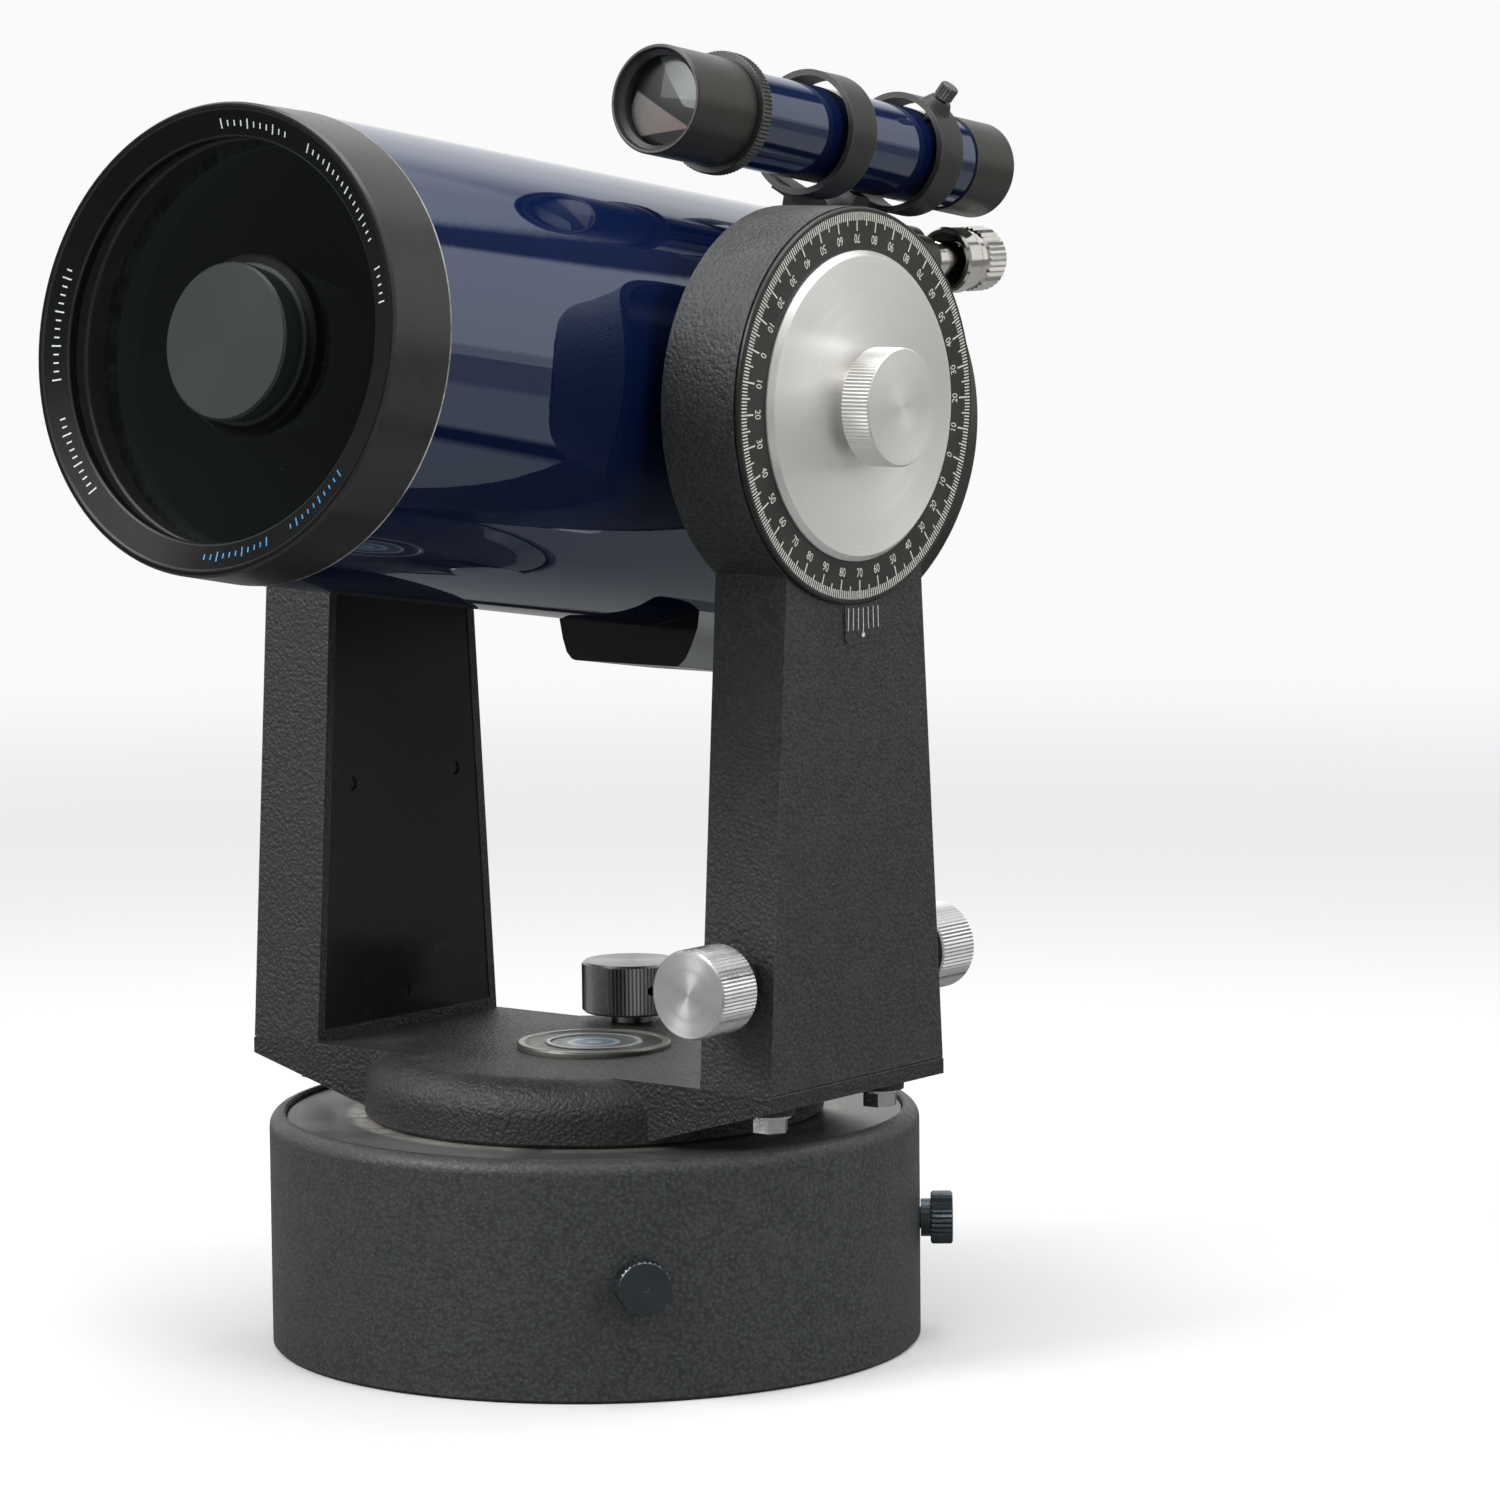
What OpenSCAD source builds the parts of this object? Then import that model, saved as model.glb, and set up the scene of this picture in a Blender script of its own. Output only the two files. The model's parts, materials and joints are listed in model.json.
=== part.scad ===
// Small fork mounted catadioptric telescope: drive base, fork, tube, finder.
// Millimetres. Origin at the centre of the base underside, +Z up, the tube
// looks along -Y, the declination axis lies along X.

/* [Base] */
// Radius of the drive base drum
base_r = 88.7; // [88:0.1:90]
// Height of the drive base drum
base_h = 64; // [63.5:0.1:64.5]
// Radius of the top edge rounding of the drum
base_edge = 4; // [3:0.5:4.5]
// Height of the leg knobs above the underside
leg_z = 32; // [28:1:36]
// Radius of the tripod thread in the underside
tripod_r = 3.175; // [3:0.025:3.4]

/* [Fork] */
// Radius of the round foot of the fork
puck_r = 62.7; // [62:0.1:63]
// Height of the fork foot above the base underside
puck_top = 80; // [80:0.5:81]
// Distance from the centre to the outer face of an arm
arm_out = 89.3; // [89.3:0.1:90]
// Distance from the centre to the inner face of an arm
arm_in = 66.2; // [66:0.1:66.5]
// Half width of an arm at its foot
arm_foot = 38.6; // [37:0.1:39]
// Half width of an arm below its drum
arm_neck = 30; // [29:0.5:32]
// Radius of the drum at the top of an arm
drum_r = 52; // [52:0.5:54]
// Height of the declination axis
dec_z = 257; // [256:0.5:258]
// Wall thickness of the arm castings
wall = 6; // [5:0.5:6.5]

/* [Tube] */
// Tilt of the tube above level at rest, degrees
tilt = 8.3; // [0:0.1:12]
// Outer radius of the main tube
tube_r = 60; // [59.5:0.1:60.2]
// Wall thickness of the main tube
tube_t = 2; // [1.5:0.1:2.2]
// Radius of the clear aperture
aperture_r = 51; // [50:0.5:51.5]
// Distance from the declination axis to the front lip
front_y = 150.8; // [150:0.1:152]
// Distance from the declination axis to the rear end of the tube
rear_y = 86; // [85.9:0.1:86.2]
// Radius of the eyepiece socket
socket_r = 15.9; // [15.5:0.05:16]

/* [Controls] */
// Radius of the setting circle
dial_r = 51.7; // [51:0.1:51.9]
// Radius of the turned disc on the setting circle
disc_r = 40.5; // [39:0.5:42]
// Radius of the declination lock knob
lock_r = 15.5; // [14:0.5:17]
// Radius of the two declination slow motion knobs
dec_knob_r = 11.8; // [11:0.1:13]
// Radius of the right ascension slow motion knob
ra_knob_r = 13.8; // [13:0.1:14.2]
// Radius of the focus knob
focus_r = 9.1; // [8.6:0.1:9.6]

/* [Gears] */
// Teeth on the drive gear
gear_n = 72; // [72]
// Teeth on each pinion
pinion_n = 12; // [12]
// Distance from the polar axis to a pinion axis
gear_c = 45; // [45]

/* [Finder] */
// Sideways place of the finder axis
find_x = 39.2; // [39:0.1:39.5]
// Height of the finder axis above the tube axis
find_z = 76.5; // [76.3:0.1:77]
// Outer radius of the finder tube
find_r = 12.9; // [12.5:0.1:13]

/* [Hidden] */
$fn = 96;
gm = 2 * gear_c / (gear_n + pinion_n);
wing_z = puck_top - 4.6;
wing_t = tan(15.5);
cav_x = 83.3;
scr_x = 77.5;
scr_z = 108;
leg_a = [-44, 36, 116];
motor_a = 30;
ra_a = 115;
fr = norm([find_x, find_z]);
fa = atan2(find_x, find_z);
ring_a = 35.5;
ring_b = 77.5;
rod_x = 39;
rod_y = 92;
rod_z = 47.7;

// ---- shared shapes -------------------------------------------------------
// stand a shape drawn along Z onto the +Y direction
module along_y() rotate([-90, 0, 0]) children();
// stand a shape drawn along Z onto the +X direction
module along_x() rotate([0, 90, 0]) children();
// the frame of the tilted tube
module tube_frame() translate([0, 0, dec_z]) rotate([-tilt, 0, 0]) children();
// the frame of the finder axis inside the tube frame: Z outward, Y back
module finder_frame() rotate([0, fa, 0]) translate([0, 0, fr]) children();
// the frame of the focus rod, Z along the rod towards the knob
module rod_frame() translate([rod_x, rod_y, rod_z]) rotate([tilt - 90, 0, 0]) children();
// a ring between two radii
module ring(ro, ri, h) difference() {
    cylinder(r = ro, h = h);
    translate([0, 0, -1]) cylinder(r = ri, h = h + 2);
}
// a revolved solid from [radius, height] points
module turned(pts) rotate_extrude() polygon(pts);
// a straight knurled cylinder with n ridges of depth d and chamfered ends
module knurled(r, h, n, d, c) intersection() {
    linear_extrude(height = h)
        polygon([for (i = [0 : 2 * n - 1]) let (a = i * 180 / n, q = i % 2 == 0 ? r : r - d)
            [q * cos(a), q * sin(a)]]);
    turned([[0, 0], [r - c, 0], [r + 0.01, c], [r + 0.01, h - c], [r - c, h], [0, h]]);
}
// an external gear with straight flanked teeth
module gear2d(n) {
    pr = gm * n / 2;
    ro = pr + 0.85;
    ri = pr - 1.2;
    a0 = 0.85 / ri * 180 / PI;
    a1 = 0.66 / pr * 180 / PI;
    a2 = 0.34 / ro * 180 / PI;
    polygon([for (i = [0 : n - 1], k = [0 : 5]) let (t = i * 360 / n,
        a = t + [-a0, -a1, -a2, a2, a1, a0][k], q = [ri, pr, ro, ro, pr, ri][k])
        [q * cos(a), q * sin(a)]]);
}
// quarter arc points about a centre, from angle a to angle b
function arc(cx, cy, r, a, b, n = 8) = [for (i = [0 : n]) let (t = a + (b - a) * i / n)
    [cx + r * cos(t), cy + r * sin(t)]];
// half width of an arm at a height
function half_w(z) = arm_foot - (z - puck_top) * (arm_foot - arm_neck) / 130;
// the outline of an arm seen along X, inset by d, as [y, z]
module arm_outline(d = 0, z0 = 0) {
    polygon([[-half_w(puck_top) + d, puck_top + z0], [half_w(puck_top) - d, puck_top + z0],
        [half_w(215) - d, 215], [-half_w(215) + d, 215]]);
    translate([0, dec_z]) circle(r = drum_r - d);
}
// a slab standing on edge, from x0 to x1, from a [y, z] outline
module slab(x0, x1) multmatrix([[0, 0, 1, x0], [1, 0, 0, 0], [0, 1, 0, 0], [0, 0, 0, 1]])
    linear_extrude(height = x1 - x0) children();

// ---- base ----------------------------------------------------------------
module base_drum() color([0.13, 0.13, 0.13]) difference() {
    union() {
        turned(concat([[84.1, 0], [base_r - 1, 0], [base_r, 1]],
            arc(base_r - base_edge, base_h - base_edge, base_edge, 0, 90),
            [[84.6, base_h - 0.15], [84.2, base_h - 0.6], [84.2, 60], [14, 60], [14, 44], [22, 44],
            [22, 52], [80, 52], [80, 4], [84.1, 4]]));
        for (a = leg_a) rotate([0, 0, a]) translate([72, 0, leg_z]) along_x() cylinder(r = 8, h = 11);
        for (a = [0 : 90 : 270]) rotate([0, 0, a + 10]) translate([75, 0, 4.5]) cylinder(r = 6.5, h = 18);
    }
    for (a = leg_a) rotate([0, 0, a]) translate([60, 0, leg_z]) along_x() cylinder(r = 3.05, h = 40);
    for (a = [0 : 90 : 270]) rotate([0, 0, a + 10]) translate([75, 0, 0]) cylinder(r = 2, h = 18);
    rotate([0, 0, motor_a]) translate([gear_c, 0, 40]) cylinder(r = 9, h = 30);
    rotate([0, 0, 160]) translate([60, 0, 28]) along_x() cylinder(r = 9, h = 40);
}
module base_deck_plate() color([0.6, 0.6, 0.6]) difference() {
    turned([[30, 60], [84.1, 60], [84.1, 62.1], [83.7, 62.5], [30, 62.5]]);
    rotate([0, 0, motor_a]) translate([gear_c, 0, 50]) cylinder(r = 9, h = 30);
}
module base_bottom_plate() color([0.2, 0.2, 0.2]) difference() {
    cylinder(r = 84, h = 4);
    translate([0, 0, -1]) cylinder(r = tripod_r, h = 6);
    for (a = [30, 150, 270]) rotate([0, 0, a]) translate([60, 0, -1]) cylinder(r = tripod_r, h = 6);
    for (a = [0 : 90 : 270]) rotate([0, 0, a + 10]) translate([75, 0, -1]) {
        cylinder(r = 2.2, h = 6);
        cylinder(r = 4.3, h = 3.3);
    }
}
module bottom_plate_screws() color([0.7, 0.7, 0.7])
    for (a = [0 : 90 : 270]) rotate([0, 0, a + 10]) translate([75, 0, 0]) {
        translate([0, 0, 2.3]) cylinder(r = 2, h = 13.5);
        difference() {
            translate([0, 0, 0.3]) cylinder(r = 4, h = 2);
            translate([-3, -0.5, 0]) cube([6, 1, 1.1]);
        }
    }
module polar_bush() color([0.75, 0.6, 0.3]) turned([[8.05, 44], [14, 44], [14, 60], [20, 60], [20, 62.5], [8.05, 62.5]]);
module drive_motor() color([0.7, 0.7, 0.72]) rotate([0, 0, motor_a]) translate([gear_c, 0, 0]) {
    difference() {
        turned([[0, 23], [19, 23], [22, 26], [22, 49], [20, 51], [20, 52], [6, 52], [6, 54], [0, 54]]);
        translate([0, 0, 40]) cylinder(r = 2.05, h = 20);
    }
}
module power_socket() color([0.08, 0.08, 0.08]) rotate([0, 0, 160]) translate([0, 0, 28]) along_x() difference() {
    turned([[0, 70], [8.9, 70], [8.9, 88.75], [11.5, 88.75], [11.5, 89.8], [11, 90.3], [0, 90.3]]);
    translate([0, 0, 80]) cylinder(r = 5, h = 20);
}
module leg_knob(a) rotate([0, 0, a]) translate([0, 0, leg_z]) along_x() {
    translate([0, 0, 72]) cylinder(r = 3, h = 20);
    translate([0, 0, 88.9]) cylinder(r = 5.2, h = 2.8);
    translate([0, 0, 91.6]) difference() {
        knurled(7.25, 6, 32, 0.45, 0.5);
        translate([0, 0, 5.7]) cylinder(r = 0.8, h = 1);
    }
}
module leg_knob_front() color([0.1, 0.11, 0.13]) leg_knob(leg_a[0]);
module leg_knob_right() color([0.1, 0.11, 0.13]) leg_knob(leg_a[1]);
module leg_knob_rear() color([0.1, 0.11, 0.13]) leg_knob(leg_a[2]);

// ---- drive ---------------------------------------------------------------
module motor_pinion() color([0.8, 0.65, 0.3]) rotate([0, 0, motor_a]) translate([gear_c, 0, 0]) {
    translate([0, 0, 63.2]) rotate([0, 0, 180 + 180 / pinion_n]) linear_extrude(height = 3.2) gear2d(pinion_n);
    translate([0, 0, 42]) cylinder(r = 2, h = 22);
    translate([0, 0, 56]) cylinder(r = 4, h = 7.3);
}
module drive_gear() color([0.78, 0.64, 0.3]) difference() {
    union() {
        translate([0, 0, 63.2]) linear_extrude(height = 6.8) gear2d(gear_n);
        translate([0, 0, 62.55]) cylinder(r = 13, h = 7.45);
    }
    translate([0, 0, 60]) cylinder(r = 8.05, h = 20);
    for (a = [0 : 60 : 300]) rotate([0, 0, a]) translate([23, 0, 60]) cylinder(r = 6, h = 20);
}
module clutch_washer() color([0.45, 0.3, 0.2]) translate([0, 0, 70]) ring(13, 8.2, 0.95);

// ---- fork ----------------------------------------------------------------
module fork_base() color([0.13, 0.13, 0.13]) difference() {
    union() {
        turned(concat([[0, 62.7], [puck_r - 1, 62.7], [puck_r, 63.7]],
            arc(puck_r - 10, puck_top - 10, 10, 0, 90), [[0, puck_top]]));
        for (s = [0, 180]) rotate([0, 0, s]) translate([0, 39, 0]) rotate([90, 0, 0])
            linear_extrude(height = 78) polygon([[30, puck_top], [arm_out - 0.6, puck_top], [arm_out, puck_top - 0.6],
                [arm_out, wing_z], [46, wing_z - (arm_out - 46) * wing_t], [30, 64]]);
        for (x = [-78.5, 78.5], y = [-24.5, 24.5]) translate([x, y, 72.4]) cylinder(r = 6.5, h = 5);
    }
    translate([0, 0, 60]) cylinder(r = 54, h = 13);
    translate([0, 0, 60]) cylinder(r = 8, h = 30);
    rotate([0, 0, ra_a]) translate([gear_c, 0, 60]) cylinder(r = 3.05, h = 30);
    for (x = [-78.5, 78.5], y = [-24.5, 24.5]) translate([x, y, 0]) {
        translate([0, 0, 60]) cylinder(r = 6.5, h = 12.4);
        translate([0, 0, 60]) cylinder(r = 2.7, h = 30);
    }
}
module fork_arm(s) {
    difference() {
        slab(arm_in, arm_out) arm_outline();
        // hollow behind the inner face
        slab(arm_in - 1, cav_x) {
            polygon([[-half_w(94) + wall, 94], [half_w(94) - wall, 94],
                [half_w(215) - wall, 216], [-half_w(215) + wall, 216]]);
            translate([0, dec_z]) circle(r = drum_r - wall);
        }
        // seat of the inner cover
        slab(arm_in - 1, 68.1) arm_outline(3, 3);
        translate([60, 0, dec_z]) along_x() cylinder(r = 12, h = 40);
        for (y = [-24.5, 24.5]) translate([78.5, y, 70]) cylinder(r = 2.5, h = 23);
        if (s > 0) translate([scr_x, -50, scr_z]) along_y() cylinder(r = 5.5, h = 100);
    }
    // bearing boss
    difference() {
        translate([78, 0, dec_z]) along_x() cylinder(r = 18, h = cav_x - 78);
        translate([60, 0, dec_z]) along_x() cylinder(r = 12, h = 40);
    }
    if (s > 0) for (q = [-1, 1]) difference() {
        translate([scr_x, q > 0 ? 28 : -38, scr_z]) along_y() cylinder(r = 8.5, h = 10);
        translate([scr_x, -50, scr_z]) along_y() cylinder(r = 5.5, h = 100);
        translate([cav_x, -60, 90]) cube([20, 120, 40]);
        translate([60, -60, 90]) cube([8.2, 120, 40]);
    }
}
module fork_arm_right() color([0.13, 0.13, 0.13]) {
    fork_arm(1);
    vernier_pad();
}
module fork_arm_left() color([0.13, 0.13, 0.13]) rotate([0, 0, 180]) fork_arm(-1);
module arm_cover() difference() {
    slab(arm_in + 0.3, 68.1) arm_outline(3.1, 3.1);
    translate([60, 0, dec_z]) along_x() cylinder(r = 12, h = 40);
    for (p = [[0, 90], [22, 150], [-22, 150], [0, 215], [38, 257], [-38, 257], [0, 297]])
        translate([arm_in, p[0], p[1]]) along_x() cylinder(r = 2, h = 0.9);
}
module arm_cover_right() color([0.07, 0.07, 0.07]) arm_cover();
module arm_cover_left() color([0.07, 0.07, 0.07]) rotate([0, 0, 180]) arm_cover();
module arm_bolts() color([0.8, 0.8, 0.8])
    for (x = [-78.5, 78.5], y = [-24.5, 24.5]) translate([x, y, 0]) {
        translate([0, 0, 72.3]) cylinder(r = 2.5, h = 20);
        translate([0, 0, 71.6]) cylinder(r = 5.6, h = 0.8);
        translate([0, 0, 67.8]) cylinder(r = 4.9, h = 3.8, $fn = 6);
    }
module polar_shaft() color([0.75, 0.75, 0.77]) union() {
    translate([0, 0, 37.5]) cylinder(r = 8, h = 42.5);
    translate([0, 0, 71]) cylinder(r = 16, h = 2);
}
module polar_nut() color([0.7, 0.7, 0.7]) difference() {
    union() {
        translate([0, 0, 38.5]) cylinder(r = 13, h = 4, $fn = 6);
        translate([0, 0, 42.5]) cylinder(r = 14, h = 1.45);
    }
    translate([0, 0, 30]) cylinder(r = 8, h = 30);
}
module fork_badge() color([0.35, 0.4, 0.45]) turned([[0, puck_top], [21, puck_top], [21, 81], [20.6, 81.5], [19.2, 81.5],
    [18.8, 81.1], [13.4, 81.1], [13, 81.5], [12, 81.5], [11.6, 81.1], [0, 81.1]]);
module bush_x(s) translate([0, 0, dec_z]) rotate([0, s * 90, 0])
    turned([[9.05, 76.9], [15, 76.9], [15, 78], [12, 78], [12, arm_out], [9.05, arm_out]]);
module dec_bushes() color([0.75, 0.6, 0.3]) {
    bush_x(1);
    bush_x(-1);
}
module dec_bearing_cap() color([0.13, 0.13, 0.13]) translate([0, 0, dec_z]) rotate([0, -90, 0])
    turned([[0, 90.6], [9.5, 90.6], [9.5, arm_out], [24, arm_out], [24, 90.4], [22.5, 91.9], [0, 91.9]]);
// raised pad below the setting circle that carries the vernier marks
module vernier_pad() slab(arm_out - 0.1, arm_out + 0.5) difference() {
    union() {
        translate([-5, 197]) square([16, 14]);
        translate([-3, 195]) square([12, 4]);
        translate([-3, 197]) circle(r = 2);
        translate([9, 197]) circle(r = 2);
    }
    translate([0, dec_z]) circle(r = dial_r + 0.4);
}
module dec_screw_bushes() color([0.1, 0.1, 0.1]) for (q = [0, 180])
    translate([scr_x, 0, scr_z]) rotate([0, 0, q]) rotate([90, 0, 0])
        turned([[3.05, 29], [5.5, 29], [5.5, 38], [7.5, 38], [7.5, 38.8], [7, 39.3], [3.05, 39.3]]);
module ra_slow_knob() color([0.62, 0.62, 0.6]) rotate([0, 0, ra_a]) translate([gear_c, 0, 0]) difference() {
    union() {
        translate([0, 0, puck_top + 0.1]) cylinder(r = 6, h = 3);
        translate([0, 0, 82.8]) knurled(ra_knob_r, 14.3, 80, 0.35, 0.8);
    }
    translate([0, 0, 70]) cylinder(r = 3, h = 24);
    rotate([0, 0, 218]) translate([4, 0, 90]) along_x() cylinder(r = 1.3, h = 20);
}
module ra_pinion() color([0.8, 0.65, 0.3]) rotate([0, 0, ra_a]) translate([gear_c, 0, 0]) {
    translate([0, 0, 66.9]) rotate([0, 0, 180 + 180 / pinion_n]) linear_extrude(height = 3.1) gear2d(pinion_n);
    translate([0, 0, 69.9]) cylinder(r = 5, h = 3);
    translate([0, 0, 72]) cylinder(r = 3, h = 22);
}

// ---- declination slow motion ----------------------------------------------
module dec_screw() color([0.75, 0.75, 0.77]) translate([scr_x, -54, scr_z]) along_y() union() {
    cylinder(r = 3, h = 105);
}
// a slow motion knob along Z: neck from z0, knurled head from z1, bore to z2
module dec_knob(z0, z1, z2) difference() {
    union() {
        translate([0, 0, z0]) cylinder(r = 6, h = z1 - z0 + 0.1);
        translate([0, 0, z1]) knurled(dec_knob_r, 14.6, 72, 0.3, 0.6);
    }
    cylinder(r = 3, h = z2);
}
module dec_slow_knobs() color([0.85, 0.85, 0.85]) {
    translate([scr_x, 0, scr_z]) rotate([90, 0, 0]) dec_knob(39.4, 43.4, 54);
    translate([scr_x, 0, scr_z]) along_y() dec_knob(39.4, 39.5, 51);
}
module dec_nut() color([0.78, 0.64, 0.3]) {
    difference() {
        translate([72.4, -6, 100]) cube([10.6, 12, 16]);
        translate([scr_x, -20, scr_z]) along_y() cylinder(r = 3.05, h = 40);
    }
    translate([68.6, 0, scr_z]) along_x() cylinder(r = 2.5, h = 4);
}
module tangent_arm() color([0.7, 0.7, 0.7]) difference() {
    union() {
        slab(69, 72) {
            polygon([[-7, 97], [7, 97], [11, dec_z - 12], [-11, dec_z - 12]]);
            translate([0, dec_z]) circle(r = 17);
        }
        translate([71, 0, dec_z]) along_x() cylinder(r = 14, h = 5.7);
    }
    translate([60, 0, dec_z]) along_x() cylinder(r = 9.05, h = 40);
    translate([60, -2.65, 90]) cube([20, 5.3, 23]);
}

// ---- tube ------------------------------------------------------------------
module main_tube() color([0.05, 0.08, 0.25]) tube_frame() along_y() translate([0, 0, -129.5]) ring(tube_r, tube_r - tube_t, rear_y + 129.5);
module front_ring() color([0.1, 0.1, 0.1]) tube_frame() along_y() turned([
    [tube_r + 0.3, -129.5], [tube_r + 0.3, -130.2], [tube_r - 0.3, -front_y + 0.8], [tube_r - 0.9, -front_y], [tube_r - 1.9, -front_y],
    [tube_r - 2.3, -front_y + 0.5], [aperture_r + 0.5, -148.3], [aperture_r, -147.7], [aperture_r, -145.2], [aperture_r + 1, -144.6],
    [aperture_r + 1, -141.2], [aperture_r + 0.4, -140.8], [aperture_r + 0.4, -139.8], [aperture_r + 1.2, -139.4], [aperture_r + 1.2, -134],
    [55, -134], [55, -118], [tube_r - tube_t, -118], [tube_r - tube_t, -129.5]]);
module corrector_plate() color([0.7, 0.8, 0.8, 0.4]) tube_frame() along_y() translate([0, 0, -134]) ring(55, 14, 4.5);
module corrector_retainer() color([0.1, 0.1, 0.1]) tube_frame() along_y() translate([0, 0, -129.5]) ring(55, 51.5, 3);
module secondary_holder() color([0.3, 0.31, 0.32]) tube_frame() along_y() turned([[0, -145.9], [19.4, -145.9], [20, -145.3],
    [20, -142.2], [19.5, -141.8], [19.5, -138.6], [22.4, -138], [23, -137.4], [23, -134], [14, -134], [14, -129.5], [0, -129.5]]);
module secondary_baffle() color([0.08, 0.08, 0.08]) tube_frame() along_y() turned([[0, -129.5], [21, -129.5], [21, -126],
    [18.5, -112], [17, -112], [19, -125], [15, -125], [15, -127.5], [0, -127.5]]);
module secondary_mirror() color([0.85, 0.88, 0.9]) tube_frame() along_y() turned([[0, -127.5], [15, -127.5], [15, -123.9],
    [11, -124.1], [6, -124.3], [0, -124.4]]);
module rear_cell() color([0.12, 0.12, 0.12]) tube_frame() difference() {
    union() {
        along_y() turned([[55.6, 76], [58, 76], [58, rear_y], [tube_r, rear_y], [tube_r, 99], [tube_r - 3, 102],
            [30, 102], [28, 106], [11.5, 106], [11.5, 99], [55.6, 99]]);
        // lug that carries the focus screw
        difference() {
            union() {
                translate([rod_x, 86, rod_z]) along_y() cylinder(r = 7.7, h = 8.5);
                translate([28.5, 93, 53.5]) along_y() cylinder(r = 5.5, h = 11.4);
            }
            translate([0, 80, 0]) along_y() cylinder(r = 57, h = 20);
        }
    }
    // room for the arm of the mirror carrier and its eye
    rotate([0, 90 - atan2(rod_z, rod_x), 0]) translate([0, 92.6, 0]) rotate([90, 0, 0]) linear_extrude(height = 6)
        polygon([[-5.9, 50], [5.9, 50], [5.9, 64], [3, 67.4], [-3, 67.4], [-5.9, 64]]);
    rod_frame() cylinder(r = 5.5, h = 30);
}
module baffle_tube() color([0.08, 0.08, 0.08]) tube_frame() along_y() translate([0, 0, -10]) ring(11.5, 10, 116);
module primary_mirror() color([0.85, 0.88, 0.9]) tube_frame() along_y() turned([[16, 69], [30, 68.4], [42, 67.6], [54, 66.4],
    [54, 78], [16, 78]]);
module mirror_carrier() color([0.3, 0.3, 0.3]) tube_frame() difference() {
    union() {
        along_y() turned([[11.55, 58], [16, 58], [16, 78], [36, 78], [36, 80.5], [16, 80.5], [16, 93], [11.55, 93]]);
        translate([0, 88.4, 0]) rotate([0, 90 - atan2(rod_z, rod_x), 0]) translate([-5, 0, 14]) cube([10, 2.4, 44]);
        translate([rod_x, 88.4, rod_z]) along_y() cylinder(r = 5.6, h = 2.4);
    }
    translate([rod_x, 80, rod_z]) along_y() cylinder(r = 3.4, h = 30);
}
module focus_bush() color([0.8, 0.8, 0.82]) tube_frame() rod_frame() turned([[2.55, 1.6], [5.5, 1.6], [5.5, 17], [5.1, 17.3], [5.1, 18],
    [5.5, 18.3], [5.5, 22.8], [2.55, 22.8]]);
module focus_knob() color([0.82, 0.82, 0.84]) tube_frame() rod_frame() difference() {
    union() {
        turned([[0, 14.3], [8.7, 14.3], [focus_r + 0.2, 14.9], [focus_r + 0.2, 20], [8.4, 22], [8.4, 24], [0, 24]]);
        translate([0, 0, 24]) knurled(focus_r, 9.3, 34, 0.5, 1);
    }
    translate([0, 0, 10]) cylinder(r = 7.8, h = 13);
    cylinder(r = 2.5, h = 30);
}
module focus_rod() color([0.7, 0.7, 0.72]) tube_frame() rod_frame() translate([0, 0, -4.2]) cylinder(r = 2.5, h = 34.2);
module visual_back() color([0.12, 0.12, 0.12]) tube_frame() along_y() difference() {
    union() {
        translate([0, 0, 106]) knurled(24, 8, 60, 0.5, 0.8);
        turned([[0, 113], [20, 113], [20, 131], [19.2, 131.8], [0, 131.8]]);
    }
    translate([0, 0, 100]) cylinder(r = 11.5, h = 40);
    translate([0, 0, 112]) cylinder(r = socket_r, h = 30);
    translate([0, 0, 124]) rotate([0, -90, 0]) cylinder(r = 2.05, h = 40);
}
module eyepiece_clamp_screw() color([0.8, 0.8, 0.8]) tube_frame() translate([0, 124, 0]) rotate([0, -90, 0]) {
    translate([0, 0, 16.2]) cylinder(r = 2, h = 9);
    translate([0, 0, 24]) knurled(5, 6, 28, 0.4, 0.5);
}
module trunnion(l) difference() {
    turned([[0, 52], [22, 52], [22, 63], [20, 65], [14, 65], [14, 66], [9, 66], [9, l], [0, l]]);
    rotate([0, 90, 0]) rotate([90, 0, 0]) translate([0, 0, -40]) cylinder(r = tube_r, h = 80);
}
module trunnion_right() color([0.3, 0.3, 0.3]) tube_frame() {
    rotate([0, 90, 0]) trunnion(90.9);
    translate([90.9, 0, 0]) along_x() cylinder(r = 4, h = 12);
}
module trunnion_left() color([0.3, 0.3, 0.3]) tube_frame() rotate([0, -90, 0]) trunnion(90.4);
module mounting_block() color([0.06, 0.06, 0.06]) tube_frame() difference() {
    translate([0, 62, 0]) rotate([90, 0, 0]) linear_extrude(height = 36)
        polygon([[-24.4, -50], [-24, -59.5], [-22.4, -64.5], [-20.6, -68.3], [-18.6, -70.1], [-17.4, -70.4],
            [17.4, -70.4], [18.6, -70.1], [20.6, -68.3], [22.4, -64.5], [24, -59.5], [24.4, -50]]);
    translate([0, -60, 0]) along_y() cylinder(r = tube_r, h = 160);
    translate([0, 44, -80]) cylinder(r = tripod_r, h = 18);
}
module setting_circle() color([0.06, 0.06, 0.06]) tube_frame() along_x() turned([[9, arm_out + 0.1], [dial_r - 0.4, arm_out + 0.1],
    [dial_r, arm_out + 0.4], [dial_r, 90.5], [dial_r - 0.4, 90.9], [9, 90.9]]);
module circle_disc() color([0.82, 0.82, 0.82]) tube_frame() along_x() turned([[4, 90.9], [disc_r, 90.9], [disc_r, 91.5], [disc_r - 1.4, 92.9],
    [10, 92.9], [10, 96.2], [4, 96.2]]);
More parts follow.
